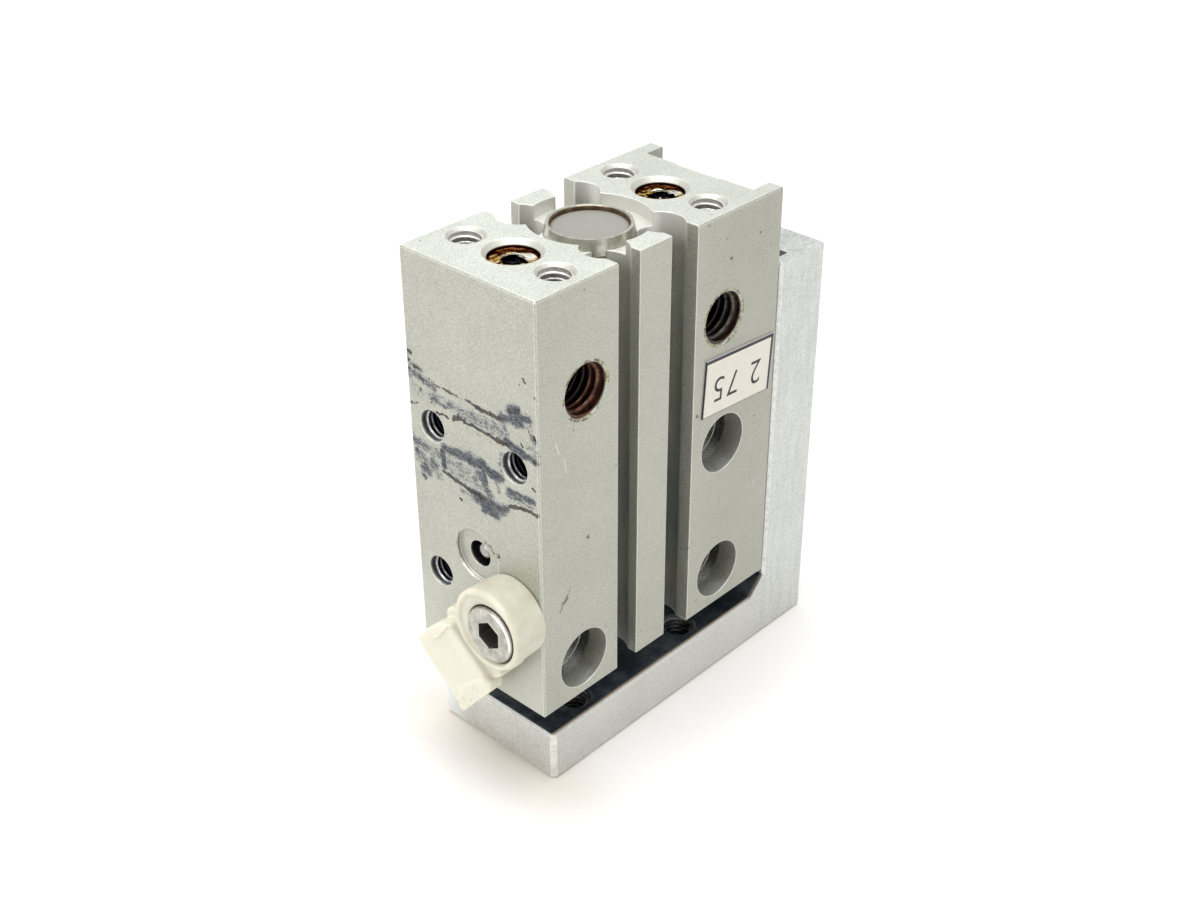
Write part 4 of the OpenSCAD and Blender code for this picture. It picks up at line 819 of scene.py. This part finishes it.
cover_metal, tree, shader, point = surface("head_cover_matt", 0.25)
skin = use(tree, satin, Point=point, Speckle=0.10, Mottle=0.08, Pits=0.1)
cover_rim_shade = ramp(tree, from_centre(tree, point), 3.16 * MM, 3.44 * MM)
colour = tint_by(tree, (0.295, 0.289, 0.265, 1), skin["Shade"])
colour = lay(tree, cover_rim_shade, colour, (0.20, 0.15, 0.10, 1))
finish(tree, shader, colour, ramp(tree, skin["Shade"], 0.9, 1.1, 0.52, 0.62), skin["Height"], 0.004 * MM)
paint(cover_metal, "head_cover")

ring_metal, tree, shader, point = surface("head_ring_bright", 0.9)
skin = use(tree, satin, Point=point, Speckle=0.14, Mottle=0.20, Pits=0.3)
inner_wall = ramp(tree, from_centre(tree, point), 3.60 * MM, 3.53 * MM)
stain = noise(tree, point, 0.9 * MM, detail=4)
colour = lay(tree, ramp(tree, stain, 0.4, 0.7), (0.52, 0.52, 0.455, 1), (0.36, 0.345, 0.285, 1))
high = ramp(tree, parts(tree, point)["Z"], head_z - 0.42 * MM, head_z - 0.34 * MM)
streak = ramp(tree, noise(tree, point, 0.35 * MM, detail=3), 0.50, 0.60)
colour = lay(tree, times(tree, high, times(tree, streak, 0.35)), colour, (0.26, 0.22, 0.15, 1))
# Tarnish with painted shade on the ring's inner wall
tarnish_and_shade = lay(tree, ramp(tree, stain, 0.4, 0.65), (0.075, 0.040, 0.020, 1), (0.20, 0.14, 0.08, 1))
colour = lay(tree, inner_wall, colour, tarnish_and_shade, 0.93)
finish(tree, shader, colour, ramp(tree, stain, 0.3, 0.7, 0.22, 0.36), skin["Height"], 0.01 * MM)
paint(ring_metal, "head_retaining_ring")

# ------------------------------------------------------------------ balls that close the drillings
# Hardened steel balls pressed into the long passages and the cross drillings; the two at the head
# end sit in set amber sealant.
ball_steel = turned_metal("ball_steel", (0.46, 0.45, 0.44, 1), (0.32, 0.31, 0.30, 1), 0.16, 0.26)

# Set sealant over a ball: amber, with a cream painted highlight, a black painted reflection where the ball's
# cap shows, and painted shade along its far edge
pool, given, result = effect("sealant_pool", {"Point": NO_VECTOR}, {"Color": COLOR, "Height": FLOAT})
spread = parts(pool, given["Point"])
middle_x = times(pool, maths(pool, "SIGN", spread["X"]), BALL_X)
local_x = maths(pool, "SUBTRACT", spread["X"], middle_x)
COS, SIN = 0.682, 0.731    # of the direction toward the viewer, that its patches are stretched along
across = maths(pool, "SUBTRACT", times(pool, local_x, COS), times(pool, spread["Y"], SIN))
along = maths(pool, "SUBTRACT", times(pool, local_x, -SIN), times(pool, spread["Y"], COS))
film = noise(pool, given["Point"], 0.55 * MM, detail=3, rough=0.6)
uneven = times(pool, maths(pool, "SUBTRACT", film, 0.5), 2.0)


def patch(tree, centre, radii):
    """1 inside an uneven oval, its middle and radii in millimetres across and along the hole."""
    squares = []
    for value, c, r in zip((across, along), centre, radii):
        off = maths(tree, "DIVIDE", maths(tree, "SUBTRACT", value, c * MM), r * MM)
        squares.append(maths(tree, "POWER", off, 2.0))
    out = maths(tree, "SQRT", maths(tree, "ADD", *squares))
    return ramp(tree, maths(tree, "ADD", out, uneven), 1.08, 0.94)


sealant_tone_and_light = lay(pool, ramp(pool, film, 0.44, 0.54), (0.16, 0.075, 0.022, 1), (0.62, 0.44, 0.20, 1))
# Painted highlight: a cream patch
sealant_tone_and_light = lay(pool, patch(pool, (0.6, -0.35), (1.35, 0.75)), sealant_tone_and_light, (0.98, 0.95, 0.84, 1))
# Painted dark reflection: a black patch on the ball's cap
sealant_tone_and_light = lay(pool, patch(pool, (0.0, 0.45), (1.30, 0.62)), sealant_tone_and_light, (0.004, 0.004, 0.006, 1))
edge_gap = maths(pool, "SQRT", maths(pool, "ADD", maths(pool, "POWER", across, 2.0),
                                     maths(pool, "POWER", maths(pool, "SUBTRACT", along, 0.6 * MM), 2.0)))
# Painted shade along the hole's far edge
sealant_tone_and_light = lay(pool, ramp(pool, edge_gap, 2.10 * MM, 2.20 * MM), sealant_tone_and_light, (0.060, 0.022, 0.007, 1))
pool.links.new(sealant_tone_and_light, result.inputs["Color"])
pool.links.new(film, result.inputs["Height"])


def sealed(name):
    """A mirror-like surface under the set sealant."""
    material, tree, shader, point = surface(name, 1.0, Specular_Tint=(0, 0, 0, 1))
    laid = use(tree, pool, Point=point)
    rough = ramp(tree, laid["Height"], 0.3, 0.7, 0.10, 0.20)
    finish(tree, shader, laid["Color"], rough, laid["Height"], 0.12 * MM)
    return material


paint(sealed("ball_in_sealant"), "passage_balls")
paint(ball_steel, "cross_hole_balls")


def bridge(shape, loops):
    """Joins closed sections into a ring, each to the next and the last to the first."""
    for here, there in zip(loops, loops[1:] + loops[:1]):
        for i in range(len(here)):
            j = (i + 1) % len(here)
            shape.faces.new((here[i], there[i], there[j], here[j]))


def mesh_of(name, shape, smooth):
    """The form as a mesh whose faces look outward."""
    bmesh.ops.recalc_face_normals(shape, faces=shape.faces)
    for face in shape.faces:
        face.smooth = smooth
    mesh = bpy.data.meshes.new(name)
    shape.to_mesh(mesh)
    shape.free()
    return mesh


# The sealant: a wavy meniscus that climbs from the ball to the wall of its hole. Its section is
# (radius, depth) pairs in millimetres
section = [(0.9, 1.0), (0.9, 0.62), (1.35, 0.70), (1.75, 0.72), (2.05, 0.64), (2.24, 0.52), (2.24, 1.3)]
SEALANT_STEPS = 64
sealant_form = bmesh.new()
for side in (-1, 1):
    loops = []
    for k in range(SEALANT_STEPS):
        turn = 2 * math.pi * k / SEALANT_STEPS
        wave = 0.04 * math.sin(3 * turn + side) + 0.03 * math.sin(5 * turn)
        loops.append([
            sealant_form.verts.new((side * BALL_X + r * MM * math.cos(turn), r * MM * math.sin(turn),
                                    head_z - (d + (wave if 1.0 < r < 2.2 else 0)) * MM))
            for r, d in section
        ])
    bridge(sealant_form, loops)
sealant_piece = added("passage_sealant", mesh_of("passage_sealant", sealant_form, True))
sealant_piece.data.materials.append(sealed("amber_sealant"))
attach(sealant_piece, CYLINDER)

# ------------------------------------------------------------------ linear guide
# Rail and block of hardened bearing steel, ground bright, with end caps moulded in dark plastic
# that turn the polished balls back. Screws hold the rail on the body and the block on the leg.
guide_steel = turned_metal("guide_ground_steel", (0.50, 0.51, 0.52, 1), (0.40, 0.41, 0.42, 1), 0.22, 0.34)
screw_steel = turned_metal("screw_steel", (0.30, 0.30, 0.31, 1), (0.20, 0.20, 0.21, 1), 0.28, 0.42)
cap_plastic, tree, shader, point = surface("end_cap_moulded", 0.0)
skin = use(tree, satin, Point=point, Speckle=0.2, Mottle=0.15, Pits=0.0)
colour = tint_by(tree, (0.028, 0.036, 0.045, 1), skin["Shade"])
edge = use(tree, edges, Width=0.1 * MM)
rough = ramp(tree, skin["Shade"], 0.85, 1.15, 0.42, 0.55)
finish(tree, shader, colour, rough, skin["Height"], 0.008 * MM, edge["Normal"])
paint(guide_steel, "guide_rail", "guide_block")
paint(cap_plastic, "guide_block_end_caps")
paint(ball_steel, "guide_balls")
paint(screw_steel, "guide_block_screws", "rail_screws", "rod_end_screw", "rod_end_washer")
paint(screw_steel, "rod_cover_snap_ring")

# ------------------------------------------------------------------ piston, rod and covers
# Chromed rod, turned aluminium piston with a bonded magnet, brass rod cover, bronze bushes,
# black rubber seals and amber urethane bumpers.
chrome = turned_metal("rod_chrome", (0.86, 0.87, 0.88, 1), (0.80, 0.81, 0.82, 1), 0.08, 0.14, 1.0, 0.04 * MM)
turned_aluminium = turned_metal("turned_aluminium", (0.80, 0.81, 0.81, 1), (0.70, 0.71, 0.71, 1), 0.22, 0.34)
brass = turned_metal("cover_brass", (0.78, 0.62, 0.30, 1), (0.62, 0.48, 0.22, 1), 0.24, 0.38)
bronze = turned_metal("sintered_bronze", (0.55, 0.36, 0.18, 1), (0.40, 0.25, 0.12, 1), 0.40, 0.60)
magnet_grey = turned_metal("bonded_magnet", (0.09, 0.085, 0.08, 1), (0.06, 0.057, 0.055, 1), 0.45, 0.60, 0.4)


def moulded(name, colour, rough_low, rough_high, **constants):
    """Moulded rubber or urethane: even colour with a faint bloom and a fine texture."""
    material, tree, shader, point = surface(name, 0.0, **constants)
    skin = use(tree, satin, Point=point, Speckle=0.20, Mottle=0.20, Pits=0.0)
    shaded = tint_by(tree, colour, skin["Shade"])
    rough = ramp(tree, skin["Shade"], 0.8, 1.2, rough_low, rough_high)
    finish(tree, shader, shaded, rough, skin["Height"], 0.008 * MM)
    return material


rubber = moulded("nitrile_rubber", (0.020, 0.020, 0.022, 1), 0.50, 0.66)
urethane = moulded(
    "amber_urethane", (0.62, 0.40, 0.11, 1), 0.25, 0.40, Subsurface_Weight=0.4, Subsurface_Scale=0.4 * MM
)
paint(chrome, "piston_rod")
paint(turned_aluminium, "piston", "magnet_holder")
paint(magnet_grey, "piston_magnet")
paint(rubber, "piston_seal", "rod_seal", "head_cover_oring", "rod_cover_oring")
paint(brass, "rod_cover")
paint(bronze, "rod_bush", "rod_floating_bush")
paint(urethane, "head_bumper", "rod_bumper")

# ------------------------------------------------------------------ tie mount
# A cable tie's screw mount moulded in natural nylon: a round eye clamped by the screw, a flat
# neck and the saddle for the tie, with soft edges, two small lugs and a roughly snipped end.
eye_place = Vector((narrow_x, -SIDE_HOLE_Y, SIDE_HOLE_LOW))
NECK_ANGLE = math.radians(50)
eye_axis = Vector((-1, 0, 0))
neck_axis = Vector((0, math.cos(NECK_ANGLE), -math.sin(NECK_ANGLE)))
across_axis = Vector((0, math.sin(NECK_ANGLE), math.cos(NECK_ANGLE)))
turned = Matrix((neck_axis, across_axis, eye_axis)).transposed().to_4x4()
to_part = Matrix.Translation(eye_place) @ turned


def turned_ring(shape, outline, shift, steps=96):
    """Adds a closed ring: outline is (radius, height) pairs in millimetres, taken round. Radii
    over 3 mm are turned about an axis that lies shift to the side."""
    loops = []
    for k in range(steps):
        c, s = math.cos(2 * math.pi * k / steps), math.sin(2 * math.pi * k / steps)
        places = [(r * MM * c, (r * s + (shift if r > 3 else 0)) * MM, h * MM) for r, h in outline]
        loops.append([shape.verts.new(place) for place in places])
    bridge(shape, loops)


def slab(shape, outline, low, high):
    """Adds a prism: outline is (along, across) pairs in millimetres, low and high its two levels."""
    rims = [[shape.verts.new((u * MM, v * MM, w * MM)) for u, v in outline] for w in (low, high)]
    shape.faces.new(list(reversed(rims[0])))
    shape.faces.new(rims[1])
    for i in range(len(outline)):
        j = (i + 1) % len(outline)
        shape.faces.new((rims[0][i], rims[0][j], rims[1][j], rims[1][i]))


nylon_form = bmesh.new()
EYE_SHIFT = 0.5
eye = [(3.80, 0.02), (3.88, 1.6), (4.00, 3.2), (3.98, 3.55), (3.80, 3.77), (3.48, 3.77), (3.34, 3.50),
       (2.86, 3.46), (2.80, 3.3), (2.80, 0.8), (1.62, 0.8), (1.62, 0.02)]
turned_ring(nylon_form, eye, EYE_SHIFT)
neck = [(3.2, -2.6), (6.2, -2.6), (6.2, 2.8), (3.2, 2.8)]
saddle = [(4.35, -3.4), (5.0, -3.9), (11.0, -3.9), (11.2, -3.6), (11.2, 3.2), (10.6, 4.1), (8.3, 4.05),
          (7.0, 3.9), (5.4, 3.5), (4.8, 3.0), (5.0, 1.2), (6.0, 0.0), (5.2, -1.4), (4.4, -2.4)]
fold = [(4.95, 2.95), (7.3, 2.75), (8.1, 2.85), (8.3, 4.1), (7.0, 3.95), (5.4, 3.6)]
snipped_end = [(4.3, -3.4), (5.0, -3.97), (11.0, -3.97), (11.2, -3.5), (9.6, -1.9), (7.0, -2.15), (4.2, -2.6)]
lower_lug = [(4.7, -1.8), (3.5, -1.9), (2.3, -2.9), (2.5, -3.5), (3.7, -3.3), (4.7, -2.6)]
turns = [k * math.pi / 8 for k in range(16)]
upper_lug = [(5.5 + 0.9 * math.cos(turn), 3.75 + 0.7 * math.sin(turn)) for turn in turns]
for shape, low, high in ((neck, 1.9, 3.48), (saddle, 2.35, 3.46), (fold, 2.3, 3.78), (snipped_end, 2.2, 3.72),
                         (lower_lug, 0.5, 3.4), (upper_lug, 0.9, 2.3)):
    slab(nylon_form, shape, low, high)
tie_piece = added("tie_mount_moulding", mesh_of("tie_mount_moulding", nylon_form, False))
skin_over = tie_piece.modifiers.new("one_skin", "REMESH")
skin_over.mode = "VOXEL"
skin_over.voxel_size = 0.11 * MM
skin_over.use_smooth_shade = True
melt = tie_piece.modifiers.new("soft_edges", "SMOOTH")
melt.factor = 0.5
melt.iterations = 5
tie_piece.data = grown_mesh(tie_piece)
tie_piece.modifiers.clear()
tie_piece.data.transform(to_part)


def in_part(along, across, height):
    """A spot of the moulding, given in millimetres along and across its neck and above the face."""
    return to_part @ Vector((along * MM, across * MM, height * MM))


def on_neck(pair):
    return in_part(*pair, 3.45)


def on_nylon(pair):
    return in_part(*pair, 3.7)


def off_screw_axis(tree, point):
    """The way from the screw's axis to a spot, and its length."""
    away = vectors(tree, "SUBTRACT", point, (0, eye_place.y, eye_place.z))
    return away, vectors(tree, "LENGTH", vectors(tree, "MULTIPLY", away, (0, 1, 1)), out="Value")


clear_look = {"Subsurface_Weight": 0.55, "Subsurface_Scale": 1.1 * MM, "IOR": 1.53}
nylon, tree, shader, point = surface("natural_nylon", 0.0, **clear_look)
shader.inputs["Subsurface Radius"].default_value = (1.0, 0.85, 0.55)
cloud = noise(tree, point, 1.5 * MM, detail=3)
scuff = noise(tree, point, 0.35 * MM, detail=4, rough=0.7)
colour = lay(tree, ramp(tree, cloud, 0.3, 0.7), (0.615, 0.590, 0.470, 1), (0.69, 0.665, 0.555, 1))
outward = vectors(tree, "SUBTRACT", point, tuple(eye_place))
outward = vectors(tree, "DOT_PRODUCT", outward, tuple(neck_axis), out="Value")
colour = lay(tree, times(tree, ramp(tree, outward, 3.8 * MM, 5.6 * MM), 0.75), colour, (0.77, 0.75, 0.625, 1))
neck_shade = strokes(tree, point, [((4.3, 2.6), (4.1, -2.6), 0.55, 1.0)], on_neck, 0.9)
colour = lay(tree, neck_shade, colour, (0.40, 0.37, 0.28, 1), 0.80)
cut_line = (in_part(7.5, -4.0, 2.6), in_part(10.4, -4.0, 2.6))
snipped = holes(tree, point, [cut_line], 1.5 * MM, 0.9 * MM)
dirt = times(tree, snipped, ramp(tree, scuff, 0.50, 0.66))
colour = lay(tree, dirt, colour, (0.36, 0.30, 0.19, 1), 0.7)

# Painted shade in the creases of the eye's lip, the fold and the ends, and on the wall beside the screw's
# head
crease_shade = [((-4.45, 1.5), (-4.7, 0.6), 0.09, 1.0), ((-2.85, -2.9), (-2.5, -3.15), 0.08, 1.0),
           ((5.0, 2.9), (7.3, 2.72), 0.06, 0.8), ((7.3, 2.72), (8.1, 2.85), 0.06, 0.9),
           ((8.12, 2.9), (8.35, 4.1), 0.05, 0.7), ((4.4, 3.3), (4.2, 2.7), 0.06, 0.8),
           ((4.3, -2.6), (7.0, -2.1), 0.05, 0.5), ((9.4, -0.4), (9.9, -1.2), 0.04, 0.6),
           ((11.2, 3.2), (11.25, -3.6), 0.12, 0.75), ((-3.1, 1.7), (-3.5, 0.5), 0.05, 0.6),
           ((-3.5, 0.5), (-3.2, -0.9), 0.05, 0.45), ((-1.5, 3.6), (-0.2, 4.0), 0.04, 0.5)]
crease_shade = strokes(tree, point, crease_shade, on_nylon, 0.5)
colour = lay(tree, crease_shade, colour, (0.26, 0.21, 0.13, 1), 0.65)
_, distance = off_screw_axis(tree, point)
head_gap_shade = times(tree, ramp(tree, distance, 2.90 * MM, 2.84 * MM), 0.85)
colour = lay(tree, head_gap_shade, colour, (0.20, 0.13, 0.07, 1))
relief = maths(tree, "MULTIPLY_ADD", scuff, maths(tree, "ADD", 0.25, snipped), cloud)
finish(tree, shader, colour, ramp(tree, scuff, 0.3, 0.7, 0.34, 0.5), relief, 0.05 * MM)
tie_piece.data.materials.clear()
tie_piece.data.materials.append(nylon)
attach(tie_piece, CYLINDER)
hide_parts("tie_mount")

# ------------------------------------------------------------------ tie mount screw
# M3 stainless socket head screw, satin on top with a bright rim to its hexagon socket. It
# clamps the mount's eye in a tapped hole of the narrow face.
screw_low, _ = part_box("tie_mount_screw")
stainless, tree, shader, point = surface("stainless_satin", 0.9)
skin = use(tree, satin, Point=point, Speckle=0.12, Mottle=0.16, Pits=0.3)
edge = use(tree, edges, Width=0.07 * MM)
away, distance = off_screw_axis(tree, point)
sunk = ramp(tree, parts(tree, point)["X"], screw_low.x + 0.05 * MM, screw_low.x + 0.2 * MM)
socket_shade = times(tree, ramp(tree, distance, 1.50 * MM, 1.40 * MM), sunk)
cloud = noise(tree, point, 0.9 * MM, detail=4)
colour = lay(tree, ramp(tree, cloud, 0.3, 0.7), (0.53, 0.515, 0.455, 1), (0.35, 0.335, 0.295, 1))
colour = tint_by(tree, colour, skin["Shade"])
turned_up = vectors(tree, "DOT_PRODUCT", away, (0, -0.85, 0.53), out="Value")
glint = times(tree, ramp(tree, distance, 2.44 * MM, 2.50 * MM), ramp(tree, turned_up, 1.5 * MM, 2.3 * MM))
colour = lay(tree, glint, colour, (1.0, 0.97, 0.90, 1))
# Painted shade in the gap round the head
brim_gap_shade = times(tree, ramp(tree, distance, 2.62 * MM, 2.70 * MM), 0.8)
colour = lay(tree, brim_gap_shade, colour, (0.16, 0.12, 0.09, 1))
drawn = noise(tree, point, 0.10 * MM, detail=2, stretch=(1, 1, 14))
colour = lay(tree, ramp(tree, drawn, 0.60, 0.68, 0.0, 0.5), colour, (0.80, 0.78, 0.73, 1))
# Painted shade inside the hexagon socket
colour = lay(tree, socket_shade, colour, (0.125, 0.115, 0.105, 1), 0.90)
colour = lay(tree, times(tree, edge["Worn"], 0.9), colour, (0.95, 0.94, 0.91, 1))
rough = ramp(tree, cloud, 0.3, 0.7, 0.38, 0.50)
finish(tree, shader, colour, rough, skin["Height"], 0.006 * MM, edge["Normal"])
paint(stainless, "tie_mount_screw")

# ------------------------------------------------------------------ sticker
# A cream paper tape with a printed navy line along two edges, cut by hand and stuck on a little
# out of square. It carries a few plain digits, upside down.
label_low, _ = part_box("label_sticker")
LABEL_MIDDLE = Vector((11.4 * MM, label_low.y, 33.85 * MM))
LABEL_W, LABEL_H, LABEL_TURN = 9.9 * MM, 5.9 * MM, math.radians(4.0)
LINE_W = 0.42 * MM
paper, tree, shader, point = surface("sticker_paper", 0.0)
shift = {"Vector": point, "Location": (-LABEL_MIDDLE.x, 0, -LABEL_MIDDLE.z)}
turned = put(tree, "ShaderNodeMapping", shift).outputs[0]
turned = put(tree, "ShaderNodeMapping", {"Vector": turned, "Rotation": (0, -LABEL_TURN, 0)}).outputs[0]
local = parts(tree, turned)


def past(axis, edge, first, second):
    """Rises while the spot's place along the sticker goes from first to second, in millimetres
    beyond an edge."""
    return ramp(tree, local[axis], edge + first * MM, edge + second * MM)


top, right = LABEL_H / 2, LABEL_W / 2
printed = greater(tree, past("Z", top - LINE_W, -0.02, 0.02), past("X", right - LINE_W, -0.02, 0.02))
printed = greater(tree, printed, past("X", -right, 0.16, 0.10))
printed = greater(tree, printed, times(tree, past("Z", -top, 0.10, 0.06), 0.8))
clear = greater(tree, past("Z", top, -0.10, -0.08), past("X", right, -0.12, -0.10))
fibre = noise(tree, point, 0.5 * MM, detail=4)
colour = lay(tree, ramp(tree, fibre, 0.3, 0.7), (0.80, 0.765, 0.665, 1), (0.77, 0.73, 0.635, 1))
colour = lay(tree, printed, colour, (0.008, 0.009, 0.017, 1))
colour = lay(tree, clear, colour, (0.46, 0.46, 0.44, 1))
finish(tree, shader, colour, ramp(tree, fibre, 0.3, 0.7, 0.38, 0.5), fibre, 0.01 * MM)
paint(paper, "label_sticker")

digits = bpy.data.curves.new("sticker_digits", "FONT")
digits.body = "2 75"
digits.size = 3.6 * MM
digits.offset = -0.03 * MM
digits.extrude = 0.004 * MM
digits.align_x = "CENTER"
digits.align_y = "CENTER"
digits.space_character = 1.15
text_holder = added("sticker_text", digits)
bpy.context.view_layer.update()
print_mesh = grown_mesh(text_holder)
bpy.data.objects.remove(text_holder)
print_mesh.transform(
    Matrix.Translation(LABEL_MIDDLE + Vector((-0.2 * MM, -0.003 * MM, -0.3 * MM)))
    @ Matrix.Rotation(LABEL_TURN + math.pi, 4, "Y")
    @ Matrix.Rotation(math.pi / 2, 4, "X")
)
print_piece = added("sticker_digits", print_mesh)
print_mesh.materials.clear()
print_mesh.materials.append(moulded("printing_ink", (0.012, 0.012, 0.016, 1), 0.45, 0.60))
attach(print_piece, CYLINDER)
